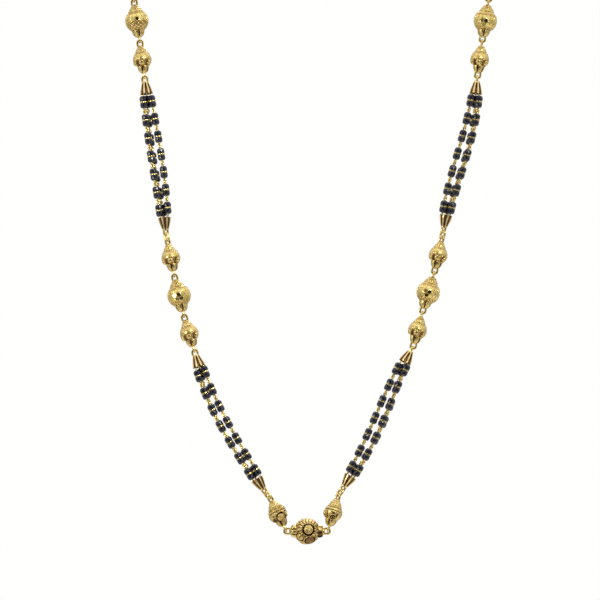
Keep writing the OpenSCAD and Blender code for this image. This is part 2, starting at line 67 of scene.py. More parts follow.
# The string's sizes, as in the part's source
NAPE_HEIGHT = 257.2
CENTRE_FORWARD = 112.0
CENTRE_SHIFT = -1.6
FRONT_LEAN = 8.5
BEAD_D = 3.0
BEAD_LEN = 2.05
DISC_D = 2.8
DISC_T = 0.5
DISC_GAP = 0.12
PAIRS = 7
PAIR_GAP = 2.56
MOUTH_GAP = 0.9
STRAND_GAP = 0.2
STRAND_BOW = 1.0
WIRE_D = 0.6
WIRE_TUCK = 1.8
WIRE_STUB = 0.35
CONE_LEN = 5.0
CONE_TIP_D = 2.4
CONE_WALL = 0.35
MOUTH_CLEAR = 0.15
SMALL_D = 7.4
SMALL_LEN = 11.6
BIG_D = 9.2
BIG_LEN = 13.6
CENTRE_D = 10.2
CENTRE_LEN = 14.2
CENTRE_CAP_D = 4.6
BOSS_TURN = 6
LOOP_WIRE = 0.6
LOOP_W = 2.3
LOOP_OUT = 2.3
LINK_LEN = 3.7
CHAIN_LEN = 8.0
CHAIN_W = 4.6
CHAIN_WIRE = 0.7
CHAIN_PLAY = 0.12
CLASP_LEN = 9.0
CLASP_D = 4.2
CLASP_WIRE = 0.7
CLASP_LOOP_W = 3.0
CLASP_LOOP_OUT = 2.9
SHOULDER_PULL = 30.0
NAPE_PULL = 45.0

SIDES = ("left", "right")
SIGN = (-1, 1)

# The pieces of a side from the centre ball outwards: kind, lean from the vertical on the left
# and on the right, turn of the upper loop on the left and on the right
SIDE_RUN = [
    ("centre", (90, 90), (0, 0)),
    ("small", (26, 16.5), (40, 50)),
    ("link", (42, 34), (130, 140)),
    ("cone_up", (32, 32), (0, 0)),
    ("strands", (27, 25.3), (0, 0)),
    ("cone_down", (17, 28), (0, 90)),
    ("small", (16.5, 15), (0, 90)),
    ("big", (13.5, 16.5), (0, 90)),
    ("small", (11, 12.5), (40, 50)),
    ("link", (12, 10), (130, 140)),
    ("cone_up", (6, 10), (0, 0)),
    ("strands", (8.1, 13.6), (0, 0)),
    ("cone_down", (7.5, 6), (0, 90)),
    ("small", (7.5, 7.5), (0, 90)),
    ("big", (8, 9), (0, 90)),
    ("small", (6, 7), (0, 0)),
]
BALL_ROWS = {1: 1, 2: 6, 3: 7, 4: 8, 5: 13, 6: 14, 7: 15}
CONE_ROWS = {1: 3, 2: 5, 3: 10, 4: 12}
LINK_ROWS = {1: 2, 2: 9}
STRAND_ROWS = {"low": 4, "up": 11}

# The strands of a section: angle round the cones' axis and shift outwards as a share of
# MOUTH_GAP
STRANDS = {"a": (210, -0.15), "b": (330, 0.15), "c": (90, 0.2)}
# How the strands lie in each section: bows aside and to the back as shares of STRAND_BOW, how
# much wider than the pitch the pairs are spaced, how far the middle pairs slip outwards
LIES = {
    (0, "low"): {"a": (-0.05, 0, 0, 0), "b": (0.05, 0, 0, 0), "c": (-1.5, 0.5, 0, 0.3)},
    (1, "low"): {"a": (-0.1, 0, -0.14, 0), "b": (0.2, 0, 0.04, 0), "c": (2.2, 0.65, 0, 0.3)},
    (0, "up"): {"a": (-0.45, 0, 0, 0), "b": (0.55, 0, -0.12, 0), "c": (-1.2, 0.5, 0, -0.8)},
    (1, "up"): {"a": (-0.3, 0, 0, 0), "b": (0.5, 0, 0, 0), "c": (1.6, 0.5, 0, -0.3)},
}

PAIR_LEN = 2 * BEAD_LEN + 2 * DISC_GAP + DISC_T
PITCH = PAIR_LEN + PAIR_GAP
STRANDS_LEN = 2 * MOUTH_GAP + PAIR_LEN + (PAIRS - 1) * PITCH
RING_R = (BEAD_D + STRAND_GAP) / math.sqrt(3)
CONE_MOUTH_D = 2 * (RING_R + WIRE_D / 2 + MOUTH_CLEAR + CONE_WALL)
LOOP_ARC = (LOOP_W - LOOP_WIRE) / 2
CLASP_REACH = (CLASP_LEN - CLASP_LOOP_W) / 2 + CLASP_LOOP_OUT
# From a piece's origin to the end of its body where its loop stands
BODY = {
    "small": SMALL_LEN / 2, "big": BIG_LEN / 2, "centre": CENTRE_LEN / 2,
    "cone_up": 0, "cone_down": CONE_LEN,
}


def sin(degrees):
    return math.sin(math.radians(degrees))


def cos(degrees):
    return math.cos(math.radians(degrees))


def unit(v):
    v = np.asarray(v, float)
    return v / np.linalg.norm(v)


def polar(radius, angle, height):
    """Point so far from the Z axis, at an angle round it in radians."""
    return radius * math.cos(angle), radius * math.sin(angle), height


def clamp(x):
    """x kept between 0 and 1."""
    return np.clip(x, 0, 1)


# Where the pieces lie

def lean_of(side, row):
    """Lean of a piece from the vertical, in the plane of the front."""
    return SIDE_RUN[row][1][side]


def turn_above(side, row):
    return SIDE_RUN[row][2][side]


def turn_below(side, row):
    return turn_above(side, row - 1) + 90


def bearing(tip, turn):
    """How far out a turned loop bears on its neighbour, with its tip so far out."""
    return tip - LOOP_WIRE / 2 - LOOP_ARC * cos(turn) ** 2


def stretch(kind, turn):
    """Length of a piece's stretch of the string on a side where it has a loop."""
    if kind == "link":
        return bearing(LINK_LEN / 2, turn)
    return BODY[kind] + bearing(LOOP_OUT, turn)


def below(side, row):
    """Length of a piece's stretch of the string below its own origin."""
    kind = SIDE_RUN[row][0]
    if kind in ("centre", "strands", "cone_down"):
        return 0
    return stretch(kind, turn_below(side, row))


def above(side, row):
    """Length of a piece's stretch of the string above its own origin."""
    kind = SIDE_RUN[row][0]
    if kind in ("strands", "cone_up"):
        return STRANDS_LEN if kind == "strands" else CONE_LEN
    return stretch(kind, turn_above(side, row))


def heading(side, row):
    a = lean_of(side, row)
    return np.array([SIGN[side] * sin(a), cos(a) * sin(FRONT_LEAN), cos(a) * cos(FRONT_LEAN)])


def walk(side):
    """Places of a side's pieces, one after another from the centre ball."""
    at = np.array([CENTRE_SHIFT, -CENTRE_FORWARD, -NAPE_HEIGHT])
    places = [at]
    for row in range(len(SIDE_RUN)):
        at = at + above(side, row) * heading(side, row)
        if row + 1 < len(SIDE_RUN):
            at = at + below(side, row + 1) * heading(side, row + 1)
        places.append(at)
    return places


PLACES = [walk(side) for side in (0, 1)]


# Matrices

def turned(axis, degrees):
    c, s = cos(degrees), sin(degrees)
    m = np.eye(4)
    i, j = {"x": (1, 2), "y": (2, 0), "z": (0, 1)}[axis]
    m[i, i] = m[j, j] = c
    m[i, j], m[j, i] = -s, s
    return m


def moved(v):
    m = np.eye(4)
    m[:3, 3] = v
    return m


def scaled(x, y, z):
    return np.diag([x, y, z, 1.0])


def axes(x, y, z, at=(0, 0, 0)):
    m = np.eye(4)
    m[:3, 0], m[:3, 1], m[:3, 2], m[:3, 3] = x, y, z, at
    return m


def along(way, at):
    """Matrix whose Z runs along way, as the source's stretches turn it."""
    w = unit(way)
    around = math.degrees(math.atan2(w[1], w[0]))
    down = math.degrees(math.acos(w[2]))
    return moved(at) @ turned("z", around) @ turned("y", down)


def at_piece(side, row):
    """Frame of a piece: its Z runs up the string."""
    lean = SIGN[side] * lean_of(side, row)
    return moved(PLACES[side][row]) @ turned("x", -FRONT_LEAN) @ turned("y", lean)


# Making meshes

class Form:
    """Points, faces and painted shade of one piece, in millimetres."""

    def __init__(self):
        self.points, self.faces, self.dark, self.count = [], [], [], 0

    def add(self, points, faces, dark=0.0, at=None):
        points = np.asarray(points, float).reshape(-1, 3)
        if at is not None:
            points = points @ at[:3, :3].T + at[:3, 3]
            if np.linalg.det(at[:3, :3]) < 0:
                faces = [face[::-1] for face in faces]
        self.points.append(points)
        self.dark.append(np.broadcast_to(np.asarray(dark, float), (len(points),)))
        self.faces += [[i + self.count for i in face] for face in faces]
        self.count += len(points)

    def placed(self, at):
        """The same form at its place."""
        form = Form()
        form.add(np.concatenate(self.points), self.faces, np.concatenate(self.dark), at)
        return form

    def make(self, name, material, nodes, slot, crease=32):
        """The form as a piece of the object, in place of the CAD nodes."""
        mesh = bpy.data.meshes.new(name)
        mesh.from_pydata((np.concatenate(self.points) * MM).tolist(), [], self.faces)
        # Layer of painted shade, whose values below 0 mark polished faces
        layer = mesh.attributes.new("painted_shade_and_polish", "FLOAT", "POINT")
        layer.data.foreach_set("value", np.concatenate(self.dark).astype(np.float32))
        mesh.polygons.foreach_set("use_smooth", [crease > 0] * len(mesh.polygons))
        if crease > 0:
            mesh.set_sharp_from_angle(angle=math.radians(crease))
        mesh.materials.append(material)
        piece = bpy.data.objects.new(name, mesh)
        scene.collection.objects.link(piece)
        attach(piece, "root")
        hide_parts(*nodes)
        return piece


def ring_faces(low, high, around, shift=0):
    """Quads between two rings of points, given the number of each ring's first point."""
    faces = []
    for j in range(around):
        k = (j + 1) % around
        faces.append([low + j, low + k, high + (k + shift) % around, high + (j + shift) % around])
    return faces


def grid_faces(rows, around):
    """Quads of a grid of points, row by row, whose rows run round."""
    faces = []
    for i in range(rows - 1):
        faces += ring_faces(i * around, (i + 1) * around, around)
    return faces


def lathe(profile, around, relief=None, ends=(True, True), dark=0.0):
    """Points, faces and painted shade of a turned form. The profile lists (radius, height) from below
    upwards, and relief(angle, height) gives how far a point stands out and how dark its painted shade is."""
    profile = np.asarray(profile, float)
    step = np.gradient(profile, axis=0)
    normal = np.stack([step[:, 1], -step[:, 0]], 1)
    normal /= np.maximum(np.linalg.norm(normal, axis=1, keepdims=True), 1e-9)
    angle = np.arange(around) * TAU / around
    a, z = np.meshgrid(angle, profile[:, 1])
    r = np.broadcast_to(profile[:, :1], a.shape)
    if relief is None:
        out, tint = np.zeros_like(a), np.full_like(a, dark)
    else:
        out, tint = relief(a, z)
    rr = r + out * normal[:, :1]
    zz = z + out * normal[:, 1:]
    points = np.stack([rr * np.cos(a), rr * np.sin(a), zz], 2).reshape(-1, 3)
    faces = grid_faces(len(profile), around)
    if ends[0]:
        faces.append(list(range(around))[::-1])
    if ends[1]:
        faces.append(list(range(len(points) - around, len(points))))
    return points, faces, tint.reshape(-1)


def tube(path, radius, sides, closed=False, dark=0.0, taper=None):
    """Round tube along a path of points; taper gives its thickness at each as a share."""
    path = np.asarray(path, float)
    n = len(path)
    if closed:
        ways = np.roll(path, -1, 0) - np.roll(path, 1, 0)
    else:
        ways = np.gradient(path, axis=0)
    ways /= np.linalg.norm(ways, axis=1, keepdims=True)
    guess = np.array([0, 0, 1.0]) if abs(ways[0][2]) < 0.9 else np.array([1.0, 0, 0])
    wide = unit(guess - ways[0] * (guess @ ways[0]))
    points = []
    for i in range(n):
        wide = unit(wide - ways[i] * (wide @ ways[i]))
        deep = np.cross(ways[i], wide)
        size = radius * (taper[i] if taper is not None else 1)
        for j in range(sides):
            a = j * TAU / sides
            points.append(path[i] + size * (math.cos(a) * wide + math.sin(a) * deep))
    faces = grid_faces(n, sides)
    if closed:
        start = (n - 1) * sides
        shift = min(range(sides), key=lambda k: np.linalg.norm(points[start] - points[k]))
        faces += ring_faces(start, 0, sides, shift)
    else:
        faces += [list(range(sides))[::-1], list(range(len(points) - sides, len(points)))]
    return points, faces, dark


def oval_path(length, width, wire, arc_steps=10, side_steps=3):
    """Middle line of a closed oval of wire, upright in the XZ plane."""
    arc = (width - wire) / 2
    half = (length - width) / 2
    path = []
    for end in (1, -1):
        for k in range(arc_steps + 1):
            a = math.pi * k / arc_steps + (0 if end > 0 else math.pi)
            path.append((arc * math.cos(a), 0, end * half + arc * math.sin(a)))
        for k in range(1, side_steps):
            path.append((-end * arc, 0, end * half * (1 - 2 * k / side_steps)))
    return path


def ball_patch(radius, across, rise):
    """Profile of a domed disc that stands on a ball and looks along Z from its middle."""
    sink = 0.25
    foot = math.sqrt(radius * radius - across * across / 4)
    rows = [(across / 2, foot - sink)]
    for t in np.linspace(0, math.pi / 2, 7):
        rows.append((across / 2 * math.cos(t), foot + (radius + rise - foot) * math.sin(t)))
    rows[-1] = (0.001, rows[-1][1])
    return rows


def granule(form, at, way, radius, sides=6, dark=0.0):
    """Small round grain on a surface."""
    m = along(way, at)
    rows = [(radius, -0.25 * radius), (0.86 * radius, 0.45 * radius), (0.45 * radius, 0.86 * radius)]
    points, faces = [], grid_faces(len(rows), sides)
    for r, z in rows:
        points += [polar(r, j * TAU / sides, z) for j in range(sides)]
    points.append((0, 0, radius))
    top = (len(rows) - 1) * sides
    faces += [[top + j, top + (j + 1) % sides, len(points) - 1] for j in range(sides)]
    form.add(points, faces, dark, m)


def on_ball(radius, angle, height):
    """Point and outward way on a ball, at an angle round its axis and a height."""
    flat = math.sqrt(max(radius * radius - height * height, 0))
    p = np.array(polar(flat, angle, height))
    return p, unit(p)


# Materials

# Noise and grains of the gold, in features a metre, and how deep they look in metres
CLOUD_SCALE = 900.0
FINE_SCALE = 5200.0
GRAIN_SCALE = 2600.0
FINE_DEPTH = 0.00004
GRAIN_DEPTH = 0.00012
# What multiplies the gold's colour in its duller clouds, and as its painted shade goes from 0 to 1
DULL = (0.82, 0.73, 0.45)
PAINTED_SHADE = ((0.0, (1, 1, 1)), (0.5, (0.40, 0.28, 0.31)), (1.0, (0.035, 0.020, 0.03)))
# How much rougher the gold is under full painted shade, and the share of the roughness that a polished face
# keeps
SHADE_ROUGH = 0.35
POLISHED_ROUGH = 0.25
GOLD_BASE = (0.83, 0.67, 0.28)
# Tones of the black crystal, its gloss and the scale of its patches
CRYSTAL = ((0.0, (0.006, 0.006, 0.014)), (1.0, (0.014, 0.009, 0.026)), (0.5, (0.005, 0.009, 0.015)))
CRYSTAL_ROUGH = 0.15
CRYSTAL_IOR = 1.55
CRYSTAL_SCALE = 700.0


def plug(tree, socket, value):
    """Links an input to a socket, or sets it to a value."""
    if isinstance(value, bpy.types.NodeSocket):
        tree.links.new(value, socket)
    else:
        socket.default_value = value


def feed(tree, made, **inputs):
    for name, value in inputs.items():
        plug(tree, made.inputs[name.replace("_", " ")], value)


def node(tree, kind, **inputs):
    """New node, right of those before it."""
    made = tree.nodes.new("ShaderNode" + kind)
    made.location = (220 * len(tree.nodes), 0)
    feed(tree, made, **inputs)
    return made


def new_material(name, **inputs):
    material = bpy.data.materials.new(name)
    material.use_nodes = True
    tree = material.node_tree
    shader = tree.nodes["Principled BSDF"]
    feed(tree, shader, **inputs)
    return material, tree, shader


def ramp(tree, value, *stops):
    """Colour for a value, from a ramp with a colour at each given position."""
    made = node(tree, "ValToRGB", Fac=value)
    elements = made.color_ramp.elements
    for index, (position, colour) in enumerate(stops):
        stop = elements[index] if index < 2 else elements.new(position)
        stop.position = position
        stop.color = (*colour, 1)
    return made.outputs["Color"]


def map_range(tree, value, low, high, to_low=0.0, to_high=1.0):
    """Value moved from one range to another, and kept inside it."""
    limits = dict(From_Min=low, From_Max=high, To_Min=to_low, To_Max=to_high)
    return node(tree, "MapRange", Value=value, **limits).outputs["Result"]


def maths(tree, operation, *values):
    """Result of a sum on numbers or sockets."""
    made = node(tree, "Math")
    made.operation = operation
    for socket, value in zip(made.inputs, values):
        plug(tree, socket, value)
    return made.outputs["Value"]


def gold_material(name, base, roughness, grain, grains=0.0):
    """Gold plate, uneven at the scale of a scratch, with painted shade in its recesses and on its shaded
    sides. The painted shade of the mesh runs from 0 to 1, and below 0 a face is polished and free of grains."""
    material, tree, shader = new_material(name, Metallic=1.0)
    place = node(tree, "TexCoord").outputs["Object"]
    cloud = node(tree, "TexNoise", Vector=place, Scale=CLOUD_SCALE, Detail=3.0).outputs["Fac"]
    fine = node(tree, "TexNoise", Vector=place, Scale=FINE_SCALE, Detail=2.0).outputs["Fac"]
    cells = node(tree, "TexVoronoi", Vector=place, Scale=GRAIN_SCALE).outputs["Distance"]
    attribute = node(tree, "Attribute")
    attribute.attribute_name = "painted_shade_and_polish"
    painted_shade_and_polish = attribute.outputs["Fac"]
    # Painted shade between the grains, but not where the mesh says polished
    unpolished = map_range(tree, painted_shade_and_polish, -1.0, 0.0)
    between_grains = maths(tree, "MULTIPLY", map_range(tree, cells, 0.42, 0.75), unpolished)
    dark = maths(tree, "MAXIMUM", painted_shade_and_polish, maths(tree, "MULTIPLY", between_grains, grains))
    dull = tuple(channel * share for channel, share in zip(base, DULL))
    mix = node(tree, "Mix")
    mix.data_type = "RGBA"
    mix.blend_type = "MULTIPLY"
    plug(tree, mix.inputs[0], 1.0)
    plug(tree, mix.inputs[6], ramp(tree, cloud, (0.3, dull), (0.65, base)))
    plug(tree, mix.inputs[7], ramp(tree, dark, *PAINTED_SHADE))
    rough = map_range(tree, fine, 0.3, 0.7, roughness * 0.8, roughness * 1.35)
    satin = maths(tree, "MULTIPLY", rough, map_range(tree, painted_shade_and_polish, -1.0, 0.0, POLISHED_ROUGH))
    strength = maths(tree, "MULTIPLY", unpolished, grain)
    bump = node(tree, "Bump", Strength=strength, Distance=FINE_DEPTH, Height=fine)
    carved = node(tree, "Bump", Strength=min(1.0, grains), Distance=GRAIN_DEPTH)
    carved.invert = True
    feed(tree, carved, Height=between_grains, Normal=bump.outputs["Normal"])
    final_roughness = maths(tree, "MULTIPLY_ADD", dark, SHADE_ROUGH, satin)
    feed(tree, shader, Base_Color=mix.outputs[2], Roughness=final_roughness, Normal=carved.outputs["Normal"])
    return material


def bead_material():
    """Opaque black crystal with a faint blue and violet cast that differs between facets."""
    material, tree, shader = new_material("black_crystal", Roughness=CRYSTAL_ROUGH, IOR=CRYSTAL_IOR)
    place = node(tree, "TexCoord").outputs["Object"]
    cast = node(tree, "TexVoronoi", Vector=place, Scale=CRYSTAL_SCALE).outputs["Color"]
    red = node(tree, "SeparateColor", Color=cast).outputs["Red"]
    feed(tree, shader, Base_Color=ramp(tree, red, *CRYSTAL))
    return material


gold = gold_material("gold_plate", GOLD_BASE, 0.20, 0.25, grains=0.3)
gold_wire = gold_material("gold_wire", GOLD_BASE, 0.16, 0.12)
gold_polished = gold_material("gold_polished", (0.84, 0.68, 0.29), 0.12, 0.08)
gold_satin = gold_material("gold_satin", (0.86, 0.70, 0.34), 0.26, 0.10)
crystal = bead_material()


# Ornament of the balls

FRONT = -math.pi / 2
# How much thicker worn wire is than bare wire, and how much more again on its flanks
SWELL = 1.2
FLANK = 0.33
# Share of a loop's width that is sunk in its cap, and a loop's value in the painted shade layer, below 0 as
# it is polished
LOOP_ROOT = 0.42
LOOP_POLISH = -0.7
# Outlines of the fluted dome and of the bud: shares of the radius and of the height
DOME_SHAPE = (
    (0.90, -0.12), (1.02, -0.10), (1.06, 0.0), (1.0, 0.10), (0.95, 0.16), (0.93, 0.30), (0.80, 0.45),
    (0.70, 0.56), (0.62, 0.60), (0.60, 0.72), (0.46, 0.86), (0.28, 0.96), (0.16, 1.0),
)
BUD_SHAPE = (
    (0.24, 1.0), (0.38, 0.97), (0.44, 0.92), (0.48, 0.88), (0.62, 0.79), (0.77, 0.65), (0.89, 0.47),
    (0.96, 0.29), (1.0, 0.14), (0.96, 0.04), (0.88, -0.06),
)
# The dome's two fluted steps, and the edge between them, as shares of its height
DOME_STEPS = ((0.14, 0.56), (0.64, 0.95))
DOME_EDGE = 0.60
PROFILE_STEP = 0.16


def worn_oval(length, width, wire, sides, dark=0.0):
    """Closed oval of wire that is thicker along its flanks than where its neighbours bear. It is
    thicker on its outer side, so that its opening stays as wide."""
    reach = (width - wire) / 2
    straight = (length - width) / 2
    path, taper = [], []
    for p in np.array(oval_path(length, width, wire), float):
        share = 1 + FLANK * (p[0] / reach) ** 2
        outwards = unit(p - np.array([0, 0, np.clip(p[2], -straight, straight)]))
        path.append(p + outwards * wire / 2 * (SWELL * share - 1))
        taper.append(share)
    return tube(path, wire / 2 * SWELL, sides, closed=True, taper=taper, dark=dark)


def cap_loop(form, turn, at, out=LOOP_OUT, width=LOOP_W, wire=LOOP_WIRE):
    """Oval loop that stands out of a cap whose tip is at a frame's origin."""
    root = LOOP_ROOT * width
    m = at @ turned("z", turn) @ moved((0, 0, (out - root) / 2))
    form.add(*worn_oval(out + root, width, wire, 10, dark=LOOP_POLISH), at=m)


def end_loops(form, side, row, half):
    """The loops at both ends of a ball."""
    cap_loop(form, turn_above(side, row), moved((0, 0, half)))
    cap_loop(form, turn_below(side, row), moved((0, 0, -half)) @ scaled(1, 1, -1))


def grain_row(form, radius, height, grain, shift=0.0, clear=None):
    """Ring of grains round a ball. clear is the way and the half angle of a boss to keep clear."""
    flat = math.sqrt(max(radius * radius - height * height, 0))
    count = max(6, int(TAU * flat / (2.05 * grain)))
    for k in range(count):
        p, way = on_ball(radius, TAU * (k + shift) / count, height)
        if clear is None or way @ clear[0] < math.cos(clear[1] + grain / radius):
            granule(form, p, way, grain)


def near_line(wave, width):
    """1 on a line where a wave is 0, falling to 0 at the line's edge."""
    return clamp(1 - np.abs(wave) / width)


def between(z, low, high, soft=0.12):
    """1 between two heights, with soft edges."""
    return clamp((z - low) / soft) * clamp((high - z) / soft)


def curve(points, step):
    """Profile through a few (radius, height) points, with rows a step apart."""
    points = np.asarray(points, float)
    runs = np.concatenate([[0], np.cumsum(np.linalg.norm(np.diff(points, axis=0), axis=1))])
    at = np.linspace(0, runs[-1], max(3, int(runs[-1] / step)))
    at = np.unique(np.concatenate([at, runs]))
    return np.stack([np.interp(at, runs, points[:, axis]) for axis in range(2)], 1)


def ball_arc(radius, low, high, rows):
    return [(math.sqrt(radius * radius - z * z), z) for z in np.linspace(low, high, rows)]


def ball_ways(radius, a, z):
    """Outward ways on a ball for a grid of angles and heights."""
    share = np.clip(z / radius, -1, 1)
    flat = np.sqrt(1 - share * share)
    return np.stack([flat * np.cos(a), flat * np.sin(a), share], -1)


def ball_place(radius, angle, height):
    """Frame on a ball: X along the parallel, Y up the ball, Z out."""
    way = on_ball(radius, angle, height)[1]
    x = np.array([-math.sin(angle), math.cos(angle), 0])
    return axes(x, np.cross(way, x), way)


def facing(frame, right, up):
    """Frame on a ball that looks a number of degrees right of and above the viewer's way."""
    way = np.array([sin(right) * cos(up), -cos(right) * cos(up), sin(up)])
    way = frame[:3, :3].T @ way
    x = unit(np.cross(frame[:3, :3].T @ np.array([0, 0, 1.0]), way))
    return axes(x, np.cross(way, x), way)


def under_boss(ways, way, wide, soft):
    """1 under a boss that looks along a way and is so wide in half angle, 0 beside it."""
    return clamp((wide + 0.02 - np.arccos(np.clip(ways @ way, -1, 1))) / soft)


def fluted_dome(form, radius, low, high, flutes, holes, shade=0.85):
    """Bell-shaped cap in two steps with upright flutes, painted shade in their grooves and at the edge
    between the steps, and below a ring of small grains painted near-black as the shade of holes.
    """
    span = high - low

    def relief(a, z):
        share = (z - low) / span
        upright = sum(between(share, start, end, 0.06) for start, end in DOME_STEPS)
        groove = near_line(np.sin(a * flutes / 2), 0.45) * upright
        edge = near_line(share - DOME_EDGE, 0.035)
        # Painted shade in the grooves and at the edge between the steps
        return -0.15 * groove, clamp(shade * groove + 0.8 * edge)

    profile = curve([(r * radius, low + z * span) for r, z in DOME_SHAPE], PROFILE_STEP)
    form.add(*lathe(profile, flutes * 6, relief))
    ring_r = radius * 1.03
    # Grains painted near-black as the shade of small holes
    for k in range(holes):
        a = TAU * (k + 0.5) / holes
        granule(form, polar(ring_r, a, low + 0.02), polar(1, a, 0.1), 0.15, dark=0.95)


def bud(form, radius, top, bottom, lobes, spin, shade=0.0):
    """Flower bud of rounded leaves that narrow downwards, with deep gaps between them. Painted shade
    darkens the gaps, the veins and the collar, and shade spreads more of it over the leaves.
    """
    span = top - bottom

    def relief(a, z):
        share = (top - z) / span
        leaf = between(share, 0.02, 0.86, 0.07)
        turn = (a - spin) * lobes / 2
        gap = near_line(np.cos(turn), 0.42) * leaf
        vein = near_line(np.sin(turn), 0.10) * between(share, 0.25, 0.7, 0.1)
        lobe = np.sqrt(np.abs(np.cos(turn))) * leaf
        collar = between(share, 0.83, 0.90, 0.03)
        # Painted shade in the gaps, veins and collar, and over the leaves
        dark = 1.7 * gap + 0.4 * vein + 0.5 * collar + shade * leaf
        return 0.20 * lobe - 0.42 * gap - 0.06 * vein, clamp(dark)

    profile = curve([(r * radius, top - z * span) for r, z in BUD_SHAPE], PROFILE_STEP)
    form.add(*lathe(profile, lobes * 16, relief))


def ridge(form, at, radius, off, lift, thick, start, sweep, tip, power=1.0, dark=0.0):
    """Ridge on a ball, curled round a place at a distance off it and thinner at both ends."""
    height = math.sqrt(radius * radius - off * off) + lift
    path, taper = [], []
    for t in np.linspace(0, 1, 21):
        path.append(polar(off, math.radians(start + sweep * t), height))
        taper.append(tip + (1 - tip) * math.sin(math.pi * t) ** power)
    form.add(*tube(path, thick, 8, taper=taper, dark=dark), at=at)


def round_boss(form, radius, across, at, ring, rise=0.35, grains=True, slip=0.0, tint=0.15):
    """Round boss that looks along Z: rim, groove a ring wide in painted shade, and a dome with rings of
    grains, which slips along Y so that the groove is wider below. tint is the painted shade of the dome."""
    outer = across / 2
    foot = math.sqrt(radius * radius - outer * outer)
    face = foot + rise
    groove_out = outer - 0.2
    groove_in = groove_out - ring
    groove_z = face - 0.38
    # Radius, height and painted shade
    rim = [
        (outer, foot - 0.5, 0.3), (outer, face - 0.12, 0), (outer - 0.08, face, 0),
        (groove_out + 0.04, face, 0.4), (groove_out, face - 0.06, 1), (groove_out - 0.02, groove_z, 1),
        (0.01, groove_z, 1),
    ]
    points, faces, _ = lathe([row[:2] for row in rim], 40)
    form.add(points, faces, np.repeat([row[2] for row in rim], 40), at)
    base = face - 0.05
    tall = radius + rise + 0.15 - face
    dome = [(groove_in + 0.04, groove_z - 0.02)]
    for t in np.linspace(0.2, math.pi / 2 - 0.01, 14):
        ripple = 0.05 * math.cos(TAU * math.cos(t) * 3.5)
        dome.append((groove_in * math.cos(t), base + tall * math.sin(t) + ripple))
    points, faces, _ = lathe(dome, 36)
    at = at @ moved((0, slip, 0))
    # Painted shade: full at the dome's foot in the groove, then tint over the dome
    form.add(points, faces, np.repeat([1.0, 0.7] + [tint] * 13, 36), at)
    if not grains:
        return
    for share, count in ((0.78, 14), (0.42, 7)):
        for k in range(count):
            x, y, z = polar(groove_in * share, TAU * k / count, base + tall * math.sqrt(1 - share * share))
            place = at @ np.array([x, y, z, 1])
            way = at @ np.array([x * 0.3, y * 0.3, 1, 0])
            granule(form, place[:3], way[:3], 0.17, dark=tint)
    top = at @ np.array([0, 0, base + tall - 0.02, 1])
    granule(form, top[:3], at[:3, 2], 0.3, 10)


# Ring of bosses on a small ball: number, height, width; inner and outer edge and top of the crescent
# of painted shade beside each; the ridge there: distance off, lift, thickness, start and sweep in
# degrees, and how thick its ends are as a share
SMALL_CURLS = 5
CURL_Z = -1.7
CURL_SIZE = 2.3
CRESCENT = (1.2, 2.55)
CRESCENT_TOP = -0.35
CURL_RIDGE = (CURL_SIZE / 2 + 1.28, -0.12, 0.2, 75, 210, 0.4)
# Height and size of its rows of grains
SMALL_GRAINS = ((2.15, 0.17), (-0.2, 0.19))


def small_ball(side, row, spin):
    """Onion-shaped ball: granulated above, a ring of bosses with painted shade in a crescent beside
    each, a bud below. spin turns the bosses, as a share of the gap between two."""
    form = Form()
    radius = SMALL_D / 2
    half = SMALL_LEN / 2
    places = [
        ball_place(radius, FRONT + TAU * (k + spin) / SMALL_CURLS, CURL_Z) for k in range(SMALL_CURLS)
    ]

    def relief(a, z):
        step = near_line(z - 2.5, 0.22)
        low_part = clamp((-z - 0.65) / 0.6)
        points = radius * ball_ways(radius, a, z)
        crescent = np.zeros_like(a)
        for m in places:
            u, v = points @ m[:3, 0], points @ m[:3, 1]
            off = np.hypot(u, v)
            left = clamp((-u / np.maximum(off, 0.01) - 0.05) / 0.3) * (points @ m[:3, 2] > 0)
            crescent = np.maximum(crescent, between(off, *CRESCENT, 0.25) * left)
        crescent *= clamp((CRESCENT_TOP - z) / 0.2)
        # Painted shade in the step's crease, on the lower part and in the crescents
        dark = clamp(0.5 * step + 0.08 * low_part + 0.62 * crescent)
        return -0.12 * step - 0.30 * low_part - 0.32 * crescent, dark

    form.add(*lathe(ball_arc(radius, -3.05, 2.95, 40), 140, relief))
    for height, grain in SMALL_GRAINS:
        grain_row(form, radius, height, grain)
    fluted_dome(form, 2.3, 2.9, half, 12, 14, shade=0.45)
    for m in places:
        form.add(*lathe(ball_patch(radius - 0.2, CURL_SIZE, 0.5), 20, dark=0.08), at=m)
        ridge(form, m, radius, *CURL_RIDGE)
    bud(form, 2.2, -2.5, -half, 5, FRONT + TAU * 0.06)
    end_loops(form, side, row, half)
    return form


# Round boss of the two lowest small balls: degrees to the right and up, width, width of its groove
# of painted shade, whether it has grains
FRONT_BOSSES = ((24, -20, 4.7, 0.48, True), (-4, -26, 2.5, 0.30, False))
# Boss of the left one, painted dark brown as shade: degrees to the right and up, width
SHADED_BOSS = (-16, -48, 3.0)
# Curls round them: how many would fill the ring, height, width; their two ridges: distance beyond
# the curl's edge, lift, thickness, painted shade
LOWEST_CURLS = (5, -1.3, 1.7)
LOWEST_RIDGES = ((0.26, 0.02, 0.36, 0.85), (0.70, 0.24, 0.17, 0.0))
# Rows of grains of the left one: height, size, shift
LOWEST_GRAINS = ((1.45, 0.3, 0.0), (0.9, 0.3, 0.5), (2.35, 0.28, 0.0))


